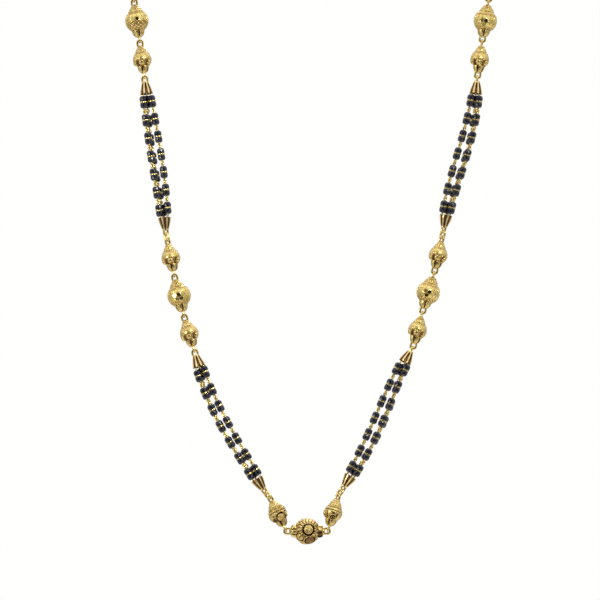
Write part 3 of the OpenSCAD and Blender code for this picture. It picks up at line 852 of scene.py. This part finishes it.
def lowest_ball(side, row):
    """Small ball beside the centre ball, with a round boss that faces the viewer."""
    form = Form()
    radius = SMALL_D / 2
    half = SMALL_LEN / 2
    right, up, across, ring, grains = FRONT_BOSSES[side]
    proud = 0.12
    boss = facing(at_piece(side, row), right, up)
    wide = math.asin(across / 2 / (radius + proud))

    def relief(a, z):
        # Under the boss the ball lies lower
        under = under_boss(ball_ways(radius, a, z), boss[:3, 2], wide, 0.06)
        lines = np.maximum(near_line(z - 1.9, 0.30), near_line(z - 0.6, 0.26))
        low_part = between(z, -2.9, -1.7, 0.3)
        gap = near_line(np.cos(2.5 * (a + 0.4)), 0.35) * between(z, -2.9, -0.1, 0.4)
        out = (-0.3 * lines - 0.3 * gap) * (1 - under) - 0.75 * under
        # Painted shade in the grooves, the gaps, the lower band and under the boss
        return out, clamp(0.8 * lines + 1.1 * gap + 0.12 * low_part + under)

    form.add(*lathe(ball_arc(radius, -3.0, 2.9, 34), 120, relief))
    if grains:
        for height, grain, shift in LOWEST_GRAINS:
            grain_row(form, radius, height, grain, shift, clear=(boss[:3, 2], wide))
    fluted_dome(form, 2.5, 2.85, half, 9, 12, shade=0.5)
    count, height, size = LOWEST_CURLS
    curl_r = radius - proud
    for k in range(side, 4):
        m = ball_place(curl_r, FRONT + TAU * (k + 0.75) / count, height)
        form.add(*lathe(ball_patch(curl_r, size, 0.26 * size), 18, dark=0.08), at=m)
        for off, lift, thick, dark in LOWEST_RIDGES:
            ridge(form, m, curl_r, size / 2 + off, lift, thick, 180 * side + 55, 250, 0.35, 0.6, dark)
    round_boss(form, radius + proud, across, boss, ring=ring, grains=grains, slip=-0.1)
    if grains:
        # Boss low on the left, painted dark as shade
        right, up, across = SHADED_BOSS
        shaded_boss = facing(at_piece(side, row), right, up)
        round_boss(form, radius, across, shaded_boss, rise=0.25, ring=0.16, grains=False, tint=0.8)
    else:
        # Pin painted near-black as the shade of a hole in the boss
        pin = [(0.42, radius), (0.42, radius + 0.62), (0.01, radius + 0.62)]
        form.add(*lathe(pin, 16, dark=1.0), at=boss)
    # The left one's bud gets painted shade over its leaves
    bud(form, 2.25, -2.6, -half, 4, FRONT + 0.5, shade=0.25 if grains else 0.0)
    end_loops(form, side, row, half)
    return form


# Flat facets of a big ball: pitch round the ball, pitch of the rows, radius, rise; how far their
# zone goes beyond the last rows, and the height that all rows stay below
FACET_GAP = 1.64
FACET_ROWS = 1.55
FACET_R = 0.78
FACET_RISE = 0.09
ZONE_EDGE = 0.85
ZONE_TOP = 2.0
# Pitch and size of the rows of grains below the zone
LOW_GRAINS = (0.5, 0.17)


def big_ball(side, row, spin, row_at, below_it):
    """Big ball; spin turns its facets, in facets, row_at is the height of a facet row, and
    below_it is the number of rows under that one."""
    form = Form()
    radius = BIG_D / 2
    half = BIG_LEN / 2
    rows = [(k, row_at + FACET_ROWS * k) for k in range(-below_it, 3)]
    rows = [(k, z) for k, z in rows if z < ZONE_TOP]
    zone_low = rows[0][1] - ZONE_EDGE
    zone_top = rows[-1][1] + ZONE_EDGE

    def relief(a, z):
        lattice = clamp((zone_low - z) / 0.15)
        slant = a * 13 / TAU
        first = np.abs((slant + z * 0.7) % 1 - 0.5)
        second = np.abs((slant - z * 0.7) % 1 - 0.5)
        line = near_line(np.minimum(first, second), 0.16) * lattice
        edge = near_line(z - zone_top - 0.32, 0.14)
        # Painted shade in the lattice's lines and in the groove above the facets
        return -0.14 * line - 0.12 * edge, np.maximum(0.9 * line, 0.8 * edge)

    form.add(*lathe(ball_arc(radius, -3.8, 3.9, 44), 132, relief))
    facets = int(TAU * radius / FACET_GAP)
    top = radius + FACET_RISE
    for index, z in rows:
        for k in range(facets):
            m = ball_place(radius, FRONT + TAU * (k + 0.5 * ((index + 1) % 2) + spin) / facets, z)
            size = FACET_R * (1 - (z / radius) ** 2) ** 0.15
            cut = [(size, radius - 0.2), (size, radius), (size - 0.07, top), (0.01, top)]
            form.add(*lathe(cut, 14, dark=-1.0), at=m)
    grain_row(form, radius, zone_top, 0.2)
    grain_row(form, radius, zone_low, 0.2)
    pitch, grain = LOW_GRAINS
    for k in range(1, 7):
        if zone_low - pitch * k > -3.7:
            grain_row(form, radius - 0.05, zone_low - pitch * k, grain, shift=0.5 * k)
    if zone_top + 0.62 < 3.7:
        grain_row(form, radius - 0.03, zone_top + 0.62, 0.2)
    fluted_dome(form, 2.8, 3.75, half, 16, 16)
    bud(form, 2.4, -3.6, -half, 5, FRONT + TAU * 0.12)
    end_loops(form, side, row, half)
    return form


# Rings of petals round the centre ball's front boss: from and to degrees off the front, count
PETAL_RINGS = ((33, 60, 18), (62, 82, 20), (84, 103, 22))
# Round bosses of the centre ball that the viewer sees: degrees to the right and up, width, rise,
# width of the groove of painted shade, slip of the dome and the painted shade of the dome
SEEN_BOSSES = (
    (7, 7, 5.4, 0.5, 0.56, 0.16, 0.0),
    (-40, -27, 4.2, 0.3, 0.34, 0.0, 0.1),
    (21, -48, 4.9, 0.3, 0.42, 0.0, 0.55),
)
# Bosses of its back: width, and for each the angle from the front and the turn round the front's
# axis
BACK_BOSS_W = 4.2
BACK_BOSSES = ((180, 0), (116.6, 36), (116.6, 108), (116.6, -108), (116.6, -36))
# Grains between them: how many would fill the ball, radius, and degrees off the front where they
# start
BACK_GRAINS = 420
BACK_GRAIN = 0.22
BACK_FROM = 96
# Lobes of its side caps, and how much wider the caps are with them
CAP_LOBES = 7
CAP_SHARE = 1.08


def centre_ball():
    """Ball strung sideways, with bosses that look to the front and to the back."""
    form = Form()
    radius = CENTRE_D / 2
    frame = moved(PLACES[0][0]) @ turned("x", -FRONT_LEAN)
    bosses = []
    for right, up, across, rise, ring, slip, tint in SEEN_BOSSES:
        m = facing(frame, right, up)
        round_boss(form, radius, across, m, rise=rise, ring=ring, slip=slip, tint=tint)
        bosses.append((m[:3, 2], math.asin(across / 2 / radius)))
    for from_front, around in BACK_BOSSES:
        m = turned("z", BOSS_TURN) @ turned("y", -around) @ turned("z", from_front - 90) @ turned("y", 90)
        round_boss(form, radius, BACK_BOSS_W, m, rise=0.22, ring=0.3)
        bosses.append((m[:3, 2], math.asin(BACK_BOSS_W / 2 / radius)))
    face = facing(frame, *SEEN_BOSSES[0][:2])

    def relief(a, z):
        off = np.degrees(np.arccos(np.clip(z / radius, -1, 1)))
        ways = ball_ways(radius, a, z) @ face[:3, :3].T
        out, dark = np.zeros_like(a), np.zeros_like(a)
        # Painted shade in the petals' gaps, at each ring's inner edge, over the back and under the bosses
        for low, high, count in PETAL_RINGS:
            wave = np.cos(a * count / 2 + (count % 4) * 0.4)
            ring = between(off, low, high, 3.0)
            gap = near_line(wave, 0.40) * ring
            out += 0.26 * np.sqrt(np.abs(wave)) * ring - 0.2 * gap
            dark += 1.4 * gap + 0.7 * near_line(off - low, 2.2)
        dark = clamp(dark + 0.6 * clamp((off - 104) / 3))
        # Under a boss the ball lies lower
        for way, wide in bosses:
            under = under_boss(ways, way, wide, 0.05)
            out = out * (1 - under) - 0.8 * under
            dark = np.maximum(dark, 0.9 * clamp(under * 3))
        return out, dark

    form.add(*lathe(ball_arc(radius - 0.08, -radius + 0.1, radius - 0.1, 90), 180, relief), at=face)
    for k in range(BACK_GRAINS):
        x = 1 - 2 * (k + 0.5) / BACK_GRAINS
        a = k * math.pi * (3 - math.sqrt(5))
        flat = math.sqrt(1 - x * x)
        way = np.array([x, flat * math.cos(a), flat * math.sin(a)])
        clear = all(way @ boss < math.cos(wide + 0.035) for boss, wide in bosses)
        if clear and abs(x) < 0.93 and way @ face[:3, 2] < cos(BACK_FROM):
            granule(form, way * radius, way, BACK_GRAIN)
    side_cap(form, 0)
    side_cap(form, 1)
    return form.placed(frame)


def side_cap(form, side):
    """Lobed cap at one end of the centre ball, and its loop, with painted shade between its lobes. The
    right one has painted shade on its lower side.
    """
    half = CENTRE_LEN / 2
    root = half / 2
    cap_r = CENTRE_CAP_D / 2 * CAP_SHARE
    # Share of the cap's radius, and height
    shape = [
        (0.72, root), (0.94, root + 0.5), (1.0, root + 1.2), (0.98, root + 1.9), (0.84, half - 0.85),
        (0.62, half - 0.55), (0.60, half - 0.3), (0.34, half),
    ]

    def relief(a, z):
        wave = np.cos(CAP_LOBES / 2 * a)
        run = between(z, root + 0.2, half - 0.8, 0.3)
        gap = near_line(wave, 0.5) * run
        # Painted shade on the right cap's lower side
        shade = 0.8 * clamp((np.cos(a) - 0.15) / 0.2) * run * side
        return 0.15 * np.sqrt(np.abs(wave)) * run - 0.35 * gap, clamp(2.0 * gap + shade)

    m = turned("y", 90 * SIGN[side])
    profile = curve([(r * cap_r, z) for r, z in shape], 0.2)
    form.add(*lathe(profile, CAP_LOBES * 14, relief), at=m)
    cap_loop(form, turn_above(side, 0), m @ moved((0, 0, half)))


# Cone caps

CONE_FLUTES = 8
CONE_SIDES = CONE_FLUTES * 10
# Outline of a cone cap: shares of its length, and of the way from the tip's to the mouth's radius
CONE_SHAPE = ((0, 0), (0.04, 0.0), (0.2, 0.2), (0.45, 0.50), (0.75, 0.82), (1, 1))
# Share of the length where the hollow ends, and where the lobes of the mouth's edge start
CONE_HOLLOW = 0.45
CONE_LOBES = 0.72


def scalloped(points):
    """Points of a cone cap with the edge of its mouth drawn out into lobes."""
    a = np.arctan2(points[:, 1], points[:, 0])
    edge = clamp(points[:, 2] / CONE_LEN - CONE_LOBES) / (1 - CONE_LOBES)
    points[:, 2] += edge * (0.28 * np.abs(np.sin(a * CONE_FLUTES / 2)) ** 0.6 - 0.12)
    return points


def cone_cap(side, row):
    """Fluted bell with a scalloped mouth, hollow from its mouth, with painted shade in its flutes and
    inside.
    """
    form = Form()
    spans = np.linspace(0, 1, 22)
    shares = np.interp(spans, *zip(*CONE_SHAPE))
    tip, mouth = CONE_TIP_D / 2, CONE_MOUTH_D / 2
    outside = [(tip + (mouth - tip) * share, span * CONE_LEN) for span, share in zip(spans, shares)]

    def relief(a, z):
        run = clamp((z - 0.5) / 0.4)
        wave = np.abs(np.sin(a * CONE_FLUTES / 2))
        groove = clamp(1 - wave / 0.92) ** 0.55 * run
        depth = 0.34 * groove * clamp(z / CONE_LEN + 0.35)
        out = 0.06 * run - depth - 0.036 * (1 - wave) * run
        # Painted shade in the grooves
        return out, 0.95 * clamp(groove * 2.2 - 0.2)

    points, faces, tint = lathe(outside, CONE_SIDES, relief, ends=(True, False))
    form.add(scalloped(points), faces, tint)
    inside = [(r - CONE_WALL * 0.8, z) for r, z in outside if z > CONE_HOLLOW * CONE_LEN]
    inside = [(0.01, inside[0][1])] + inside
    points, faces, _ = lathe(inside, CONE_SIDES, ends=(False, False))
    # Painted shade inside the hollow
    form.add(scalloped(points), [face[::-1] for face in faces], 0.5)
    # Edge between the two walls
    outer = (len(outside) - 1) * CONE_SIDES
    inner = outer + len(inside) * CONE_SIDES
    form.faces += ring_faces(outer, inner, CONE_SIDES)
    place = at_piece(side, row)
    turn = turn_below(side, row)
    if SIDE_RUN[row][0] == "cone_down":
        place = place @ moved((0, 0, CONE_LEN)) @ scaled(1, 1, -1)
        turn = -turn_above(side, row)
    cap_loop(form, turn, scaled(1, 1, -1))
    return form.placed(place)


# Bead strands

# Faceted rondelle: share of the radius, share of the length, twist in facets
BORE_R = WIRE_D / 2 + 0.1
RONDELLE_SIDES = 11
RONDELLE = (
    (2 * BORE_R / BEAD_D, 0.10, 0), (0.92, 0.0, 0), (1.0, 0.18, 0.5), (1.0, 0.66, 0), (0.74, 0.97, 0.5),
    (2 * BORE_R / BEAD_D, 1.0, 0.5),
)
# Wire, width and stem of the eyes that join two pairs, and their turns at every other joint
EYE_WIRE = 0.55
EYE_W = 1.8
EYE_STEM = 0.45
EYE_TURNS = (-50, 35)
# How far a disc stands out beyond the source's, which is also its bevel; number and depth of the
# cuts in its milled rim
RIM_PROUD = 0.08
MILL_CUTS = 24
MILL_DEPTH = 0.05
# Collar at each end of a pair: radius, and height beyond the pair; radius of the wire's bends
COLLAR = ((0.32, -0.05), (0.42, 0.05), (0.42, 0.2), (0.3, 0.3))
BEND_R = 0.36


def lie_of(side, row, strand):
    return LIES[side, "low" if row == STRAND_ROWS["low"] else "up"][strand]


def strand_at(side, row, strand, z, ring):
    """Place on a strand at a height of its section."""
    angle = STRANDS[strand][0]
    aside, back, _, _ = lie_of(side, row, strand)
    u = min(max(z / STRANDS_LEN, 0), 1)
    turns = [SIGN[side] * (lean_of(side, row + k) - lean_of(side, row)) for k in (-1, 1)]
    slope_a, slope_b = [math.tan(math.radians(turn)) for turn in turns]
    bend = STRANDS_LEN * (slope_a * (u ** 3 - 2 * u ** 2 + u) + slope_b * (u ** 3 - u ** 2))
    past = slope_a * z if z < 0 else slope_b * (z - STRANDS_LEN) if z > STRANDS_LEN else 0
    bow = STRAND_BOW * sin(180 * u)
    return np.array([ring * cos(angle) + bow * aside + bend + past, ring * sin(angle) + bow * back, z])


def pair_z(side, row, strand, k):
    _, _, creep, slip = lie_of(side, row, strand)
    moved_by = creep * (k - (PAIRS - 1) / 2) + slip * sin(180 * k / (PAIRS - 1))
    return MOUTH_GAP * (1 + STRANDS[strand][1]) + PAIR_LEN / 2 + k * PITCH + moved_by


def strand_corners(side, row, strand):
    """Ends of a strand and the joints between its pairs."""
    reach = PAIR_LEN / 2 + WIRE_STUB
    heights = [pair_z(side, row, strand, 0) - reach]
    heights += [pair_z(side, row, strand, k + 0.5) for k in range(PAIRS - 1)]
    heights += [pair_z(side, row, strand, PAIRS - 1) + reach]
    return [strand_at(side, row, strand, z, RING_R) for z in heights]


def pair_ends(corners, k):
    a, b = corners[k], corners[k + 1]
    way = unit(b - a)
    rest = np.linalg.norm(b - a) - PAIR_LEN
    low = WIRE_STUB if k == 0 else rest - WIRE_STUB if k == PAIRS - 1 else rest / 2
    return a + way * low, a + way * (low + PAIR_LEN)


def rondelle(form, at):
    """Faceted rondelle on a disc's face at the origin: broad near the disc, drawn in beyond."""
    points = []
    for share, height, twist in RONDELLE:
        r = share * BEAD_D / 2
        for j in range(RONDELLE_SIDES):
            points.append(polar(r, TAU * (j + twist) / RONDELLE_SIDES, height * BEAD_LEN))
    faces = []
    for i, (this, after) in enumerate(zip(RONDELLE, RONDELLE[1:])):
        shift = after[2] - this[2]
        for a, b, d, c in ring_faces(i * RONDELLE_SIDES, (i + 1) * RONDELLE_SIDES, RONDELLE_SIDES):
            if shift == 0:
                faces.append([a, b, d, c])
            elif shift > 0:
                faces += [[a, b, c], [b, d, c]]
            else:
                faces += [[a, b, d], [a, d, c]]
    # Wall of the bore
    faces += ring_faces(len(points) - RONDELLE_SIDES, 0, RONDELLE_SIDES)
    form.add(points, faces, 0.0, at)


def bead_strand(side, row, strand):
    form = Form()
    corners = strand_corners(side, row, strand)
    face = moved((0, 0, DISC_T / 2 + DISC_GAP))
    for k in range(PAIRS):
        low, high = pair_ends(corners, k)
        m = along(high - low, (low + high) / 2)
        for flip in (1, -1):
            spin = random.uniform(0, 360)
            rondelle(form, m @ scaled(1, 1, flip) @ face @ turned("z", spin))
    return form.placed(at_piece(side, row))


def milled_disc(form, at):
    edge = DISC_D / 2 + RIM_PROUD
    half = DISC_T / 2
    bevel = RIM_PROUD
    disc = [
        (WIRE_D / 2, -half), (edge - bevel, -half), (edge, -half + bevel), (edge, half - bevel),
        (edge - bevel, half), (WIRE_D / 2, half),
    ]

    def mill(a, z):
        return -MILL_DEPTH * (np.sin(a * MILL_CUTS) > 0), 0 * a

    form.add(*lathe(disc, 2 * MILL_CUTS, mill), at=at)


def hooked_eyes(form, joint, low_pair, high_pair, turn):
    """Two eyes hooked into each other at a joint, one from each pair."""
    room = min(np.linalg.norm(joint - low_pair[1]), np.linalg.norm(high_pair[0] - joint))
    thick = min(EYE_WIRE, (room - 0.05) / 2)
    wide = min(EYE_W, room + thick - 0.03)
    bend = (wide - thick) / 2
    ring = [(bend * math.cos(t), 0, bend * math.sin(t)) for t in np.linspace(0, TAU, 21)[:-1]]
    for m, sign, quarter in ((low_pair[2], 1, 0), (high_pair[2], -1, 90)):
        centre = joint - m[:3, 2] * sign * (wide / 2 - thick)
        eye = along(m[:3, 2], centre) @ turned("z", turn + quarter)
        form.add(*tube(ring, thick / 2, 8, closed=True), at=eye)


def strand_wire(side, row, strand):
    """Eye pins through the pairs, hooked into each other by their eyes, with milled discs."""
    form = Form()
    corners = strand_corners(side, row, strand)
    collar = [(r, PAIR_LEN / 2 + beyond) for r, beyond in COLLAR]
    pairs = []
    for k in range(PAIRS):
        low, high = pair_ends(corners, k)
        way = unit(high - low)
        m = along(way, (low + high) / 2)
        pairs.append((low, high, m))
        start = low - way * (WIRE_STUB if k == 0 else EYE_STEM)
        end = high + way * (WIRE_STUB if k == PAIRS - 1 else EYE_STEM)
        form.add(*tube([start, end], EYE_WIRE / 2, 10))
        milled_disc(form, m)
        for flip in (1, -1):
            form.add(*lathe(collar, 14), at=m @ scaled(1, 1, flip))
    # The bends into the cones
    tuck = RING_R / 2
    lower = strand_at(side, row, strand, -WIRE_TUCK, tuck)
    upper = strand_at(side, row, strand, STRANDS_LEN + WIRE_TUCK, tuck)
    knob = [(max(BEND_R * math.sin(t), 0.01), -BEND_R * math.cos(t)) for t in np.linspace(0, math.pi, 9)]
    for end, first in ((lower, corners[0]), (upper, corners[-1])):
        form.add(*tube([end, first], WIRE_D / 2, 10))
        form.add(*lathe(knob, 12), at=moved(first))
    for k in range(PAIRS - 1):
        turn = EYE_TURNS[(k + ord(strand)) % 2]
        hooked_eyes(form, corners[k + 1], pairs[k], pairs[k + 1], turn)
    return form.placed(at_piece(side, row))


# The back chain and the clasp

def route(side):
    """Curve of the back chain from the uppermost ball to the clasp's loop."""
    start = PLACES[side][-1]
    finish = np.array([SIGN[side] * CLASP_REACH, 0, 0])
    first = start + SHOULDER_PULL * heading(side, len(SIDE_RUN) - 1)
    second = finish + np.array([SIGN[side] * NAPE_PULL, 0, 0])
    t = np.linspace(0, 1, 81)[:, None]
    u = 1 - t
    return start * u ** 3 + first * 3 * t * u ** 2 + second * 3 * t * t * u + finish * t ** 3


def squared(v, way):
    """The part of v that is square to way."""
    return unit(v - (v @ way) * way)


def back_chain(side):
    """Cable chain along the route, each link a quarter turn from the next."""
    line = route(side)
    runs = np.concatenate([[0], np.cumsum(np.linalg.norm(np.diff(line, axis=0), axis=1))])
    hold = CHAIN_LEN - CHAIN_WIRE
    count = 1 + math.ceil((runs[-1] - hold) / (hold - CHAIN_WIRE - CHAIN_PLAY))
    step = (runs[-1] - hold) / (count - 1)

    def on_route(run):
        return np.array([np.interp(run, runs, line[:, axis]) for axis in range(3)])

    ends = [(on_route(k * step), on_route(k * step + hold)) for k in range(count)]
    ways = [unit(b - a) for a, b in ends]
    wides = [squared(np.array([0, cos(FRONT_LEAN), -sin(FRONT_LEAN)]), ways[0])]
    for way in ways[1:]:
        wides.append(squared(wides[-1], way))
    # The links turn little by little, so that the last one meets the clasp's loop
    last = count - 1
    now = wides[last] if last % 2 == 0 else np.cross(ways[last], wides[last])
    goal = squared(np.array([0, 1.0, 0]), ways[last])
    turn = math.degrees(math.atan2(np.cross(now, goal) @ ways[last], now @ goal))
    turn = turn - 180 if turn > 90 else turn + 180 if turn < -90 else turn
    form = Form()
    path = oval_path(CHAIN_LEN, CHAIN_W, CHAIN_WIRE, arc_steps=14, side_steps=4)
    for k in range(count):
        middle = (ends[k][0] + ends[k][1]) / 2
        m = axes(wides[k], np.cross(ways[k], wides[k]), ways[k], middle)
        m = m @ turned("z", (k % 2) * 90 + turn / last * k)
        form.add(*tube(path, CHAIN_WIRE / 2, 12, closed=True), at=m)
    return form


def clasp():
    """Barrel clasp with a groove near each end, a seam in the middle and a loop at each end."""
    form = Form()
    half = CLASP_LEN / 2
    r = CLASP_D / 2
    line_r = r - 0.16
    profile = [
        (0.6 * r, -half), (0.66 * r, -half + 0.1), (r, -half + 0.8), (r, -half + 1.5), (line_r, -half + 1.6),
        (line_r, -half + 1.85), (r, -half + 1.95), (r, -0.15), (r - 0.12, -0.05),
    ]
    profile += [(a, -z) for a, z in profile[::-1]]
    form.add(*lathe(profile, 48), at=turned("y", 90))
    for end in (1, -1):
        m = turned("y", 90 * end) @ moved((0, 0, half))
        cap_loop(form, 0, m, CLASP_LOOP_OUT, CLASP_LOOP_W, CLASP_WIRE)
    return form


# The object

# Turn of the curls on the small balls, as a share of the gap between two
CURLS_AT = {
    ("left", 2): -0.14, ("left", 4): -0.12, ("left", 5): -0.12, ("left", 7): 0.1,
    ("right", 2): -0.05, ("right", 4): -0.03, ("right", 5): -0.10, ("right", 7): 0.2,
}
# Turn and height of the facets on each big ball, and the rows under that height
FACETS_AT = {
    ("left", 3): (-0.15, -1.68, 0), ("left", 6): (-0.40, 0.30, 0),
    ("right", 3): (0.36, -1.72, 0), ("right", 6): (-0.25, -0.56, 1),
}


def ball(side, name, number, row):
    if SIDE_RUN[row][0] == "big":
        return big_ball(side, row, *FACETS_AT[name, number])
    if number == 1:
        return lowest_ball(side, row)
    return small_ball(side, row, CURLS_AT[name, number])


centre_ball().make("centre_ball", gold, ["ball_centre"], "gold")
for side, name in enumerate(SIDES):
    for number, row in BALL_ROWS.items():
        placed = ball(side, name, number, row).placed(at_piece(side, row))
        placed.make(f"ornament_{name}_{number}", gold, [f"ball_{name}_{number}"], "gold")
    for number, row in CONE_ROWS.items():
        cone_cap(side, row).make(f"cone_cap_{name}_{number}", gold_satin, [f"cone_{name}_{number}"], "gold")
    for number, row in LINK_ROWS.items():
        form = Form()
        place = at_piece(side, row) @ turned("z", turn_above(side, row))
        form.add(*worn_oval(LINK_LEN, LOOP_W, LOOP_WIRE, 12), at=place)
        form.make(f"oval_link_{name}_{number}", gold_wire, [f"link_{name}_{number}"], "gold")
    for part, row in STRAND_ROWS.items():
        for strand in STRANDS:
            beads = f"beads_{name}_{part}_{strand}"
            wire = f"wire_{name}_{part}_{strand}"
            bead_strand(side, row, strand).make(f"crystal_{beads}", crystal, [beads], "black_bead", crease=0)
            strand_wire(side, row, strand).make(f"eye_pins_{wire}", gold_wire, [wire], "gold")
    back_chain(side).make(f"back_chain_{name}", gold_wire, [f"chain_{name}"], "gold")
clasp().make("barrel_clasp", gold_polished, ["clasp"], "gold", crease=40)


# Stage and light, in metres

FLOOR_Z = -0.95
FLOOR_HALF = 1.2
FLOOR_COLOUR = (0.80, 0.80, 0.79, 1)
# Where the lights aim; place, width and power of each
AIM = (0, -0.09, -0.16)
LIGHTS = {
    "key_light": ((0.40, -1.00, 0.36), 0.22, 3.0),
    "fill_light": ((-0.85, -0.85, 0.02), 0.35, 2.4),
    "back_light": ((0.2, 0.8, 0.6), 0.5, 4.0),
}
# Tones of the studio from straight below to straight above, its strength, and its dark front:
# where along Y it starts and ends, and the share of light that it keeps
STUDIO = ((0.0, (0.55, 0.55, 0.55)), (1.0, (1.0, 1.0, 1.0)), (0.45, (0.42, 0.42, 0.43)))
STUDIO_STRENGTH = 1.38
DARK_FRONT = (-0.865, -0.70, 0.03)
WHITE = (1, 1, 0.985, 1)


def pale_floor():
    corners = [(x * FLOOR_HALF, y * FLOOR_HALF, FLOOR_Z) for x, y in ((-1, -1), (1, -1), (1, 1), (-1, 1))]
    mesh = bpy.data.meshes.new("floor")
    mesh.from_pydata(corners, [], [[0, 1, 2, 3]])
    mesh.materials.append(new_material("pale_floor", Base_Color=FLOOR_COLOUR, Roughness=0.9)[0])
    made = bpy.data.objects.new("floor", mesh)
    scene.collection.objects.link(made)
    return made


def soft_light(name, at, size, power):
    light = bpy.data.lights.new(name, "AREA")
    light.shape = "DISK"
    light.size = size
    light.energy = power
    lamp = bpy.data.objects.new(name, light)
    lamp.location = at
    lamp.rotation_mode = "QUATERNION"
    lamp.rotation_quaternion = (Vector(AIM) - Vector(at)).to_track_quat("-Z", "Y")
    scene.collection.objects.link(lamp)


def studio_world():
    """White to the camera; for the gold a bright tent above, pale below and dark in front."""
    world = bpy.data.worlds.new("studio")
    scene.world = world
    world.use_nodes = True
    tree = world.node_tree
    tree.nodes.clear()
    split = node(tree, "SeparateXYZ", Vector=node(tree, "TexCoord").outputs["Generated"])
    height = map_range(tree, split.outputs["Z"], -1.0, 1.0)
    shade = node(tree, "VectorMath")
    shade.operation = "MULTIPLY"
    plug(tree, shade.inputs[0], ramp(tree, height, *STUDIO))
    plug(tree, shade.inputs[1], map_range(tree, split.outputs["Y"], *DARK_FRONT))
    studio = node(tree, "Background", Color=shade.outputs["Vector"], Strength=STUDIO_STRENGTH)
    white = node(tree, "Background", Color=WHITE, Strength=1.0)
    mix = node(tree, "MixShader", Fac=node(tree, "LightPath").outputs["Is Camera Ray"])
    plug(tree, mix.inputs[1], studio.outputs["Background"])
    plug(tree, mix.inputs[2], white.outputs["Background"])
    node(tree, "OutputWorld", Surface=mix.outputs["Shader"])


floor = pale_floor()
for name, (at, size, power) in LIGHTS.items():
    soft_light(name, at, size, power)
studio_world()
scene.view_settings.view_transform = "Standard"

# Camera, in millimetres. The photo is 600 pixels of 0.40; its pixel (311, 0) is at x = 0 and
# z = -45
PIXEL = 0.40
PIXELS = 600
ZERO_COLUMN = 311
TOP_Z = -45
MIDDLE_X = (PIXELS / 2 - ZERO_COLUMN) * PIXEL
MIDDLE_Z = TOP_Z - PIXELS / 2 * PIXEL
CAMERA_FAR = 6000.0
STRING_Y = -95.0
SENSOR = 36.0
camera_data = bpy.data.cameras.new("camera")
camera = bpy.data.objects.new("camera", camera_data)
scene.collection.objects.link(camera)
camera.location = (MIDDLE_X * MM, (STRING_Y - CAMERA_FAR) * MM, MIDDLE_Z * MM)
camera.rotation_euler = (math.radians(90), 0, 0)
camera_data.sensor_width = SENSOR
camera_data.lens = SENSOR * CAMERA_FAR / (PIXELS * PIXEL)
camera_data.clip_start = 0.5
camera_data.clip_end = 50.0
scene.camera = camera
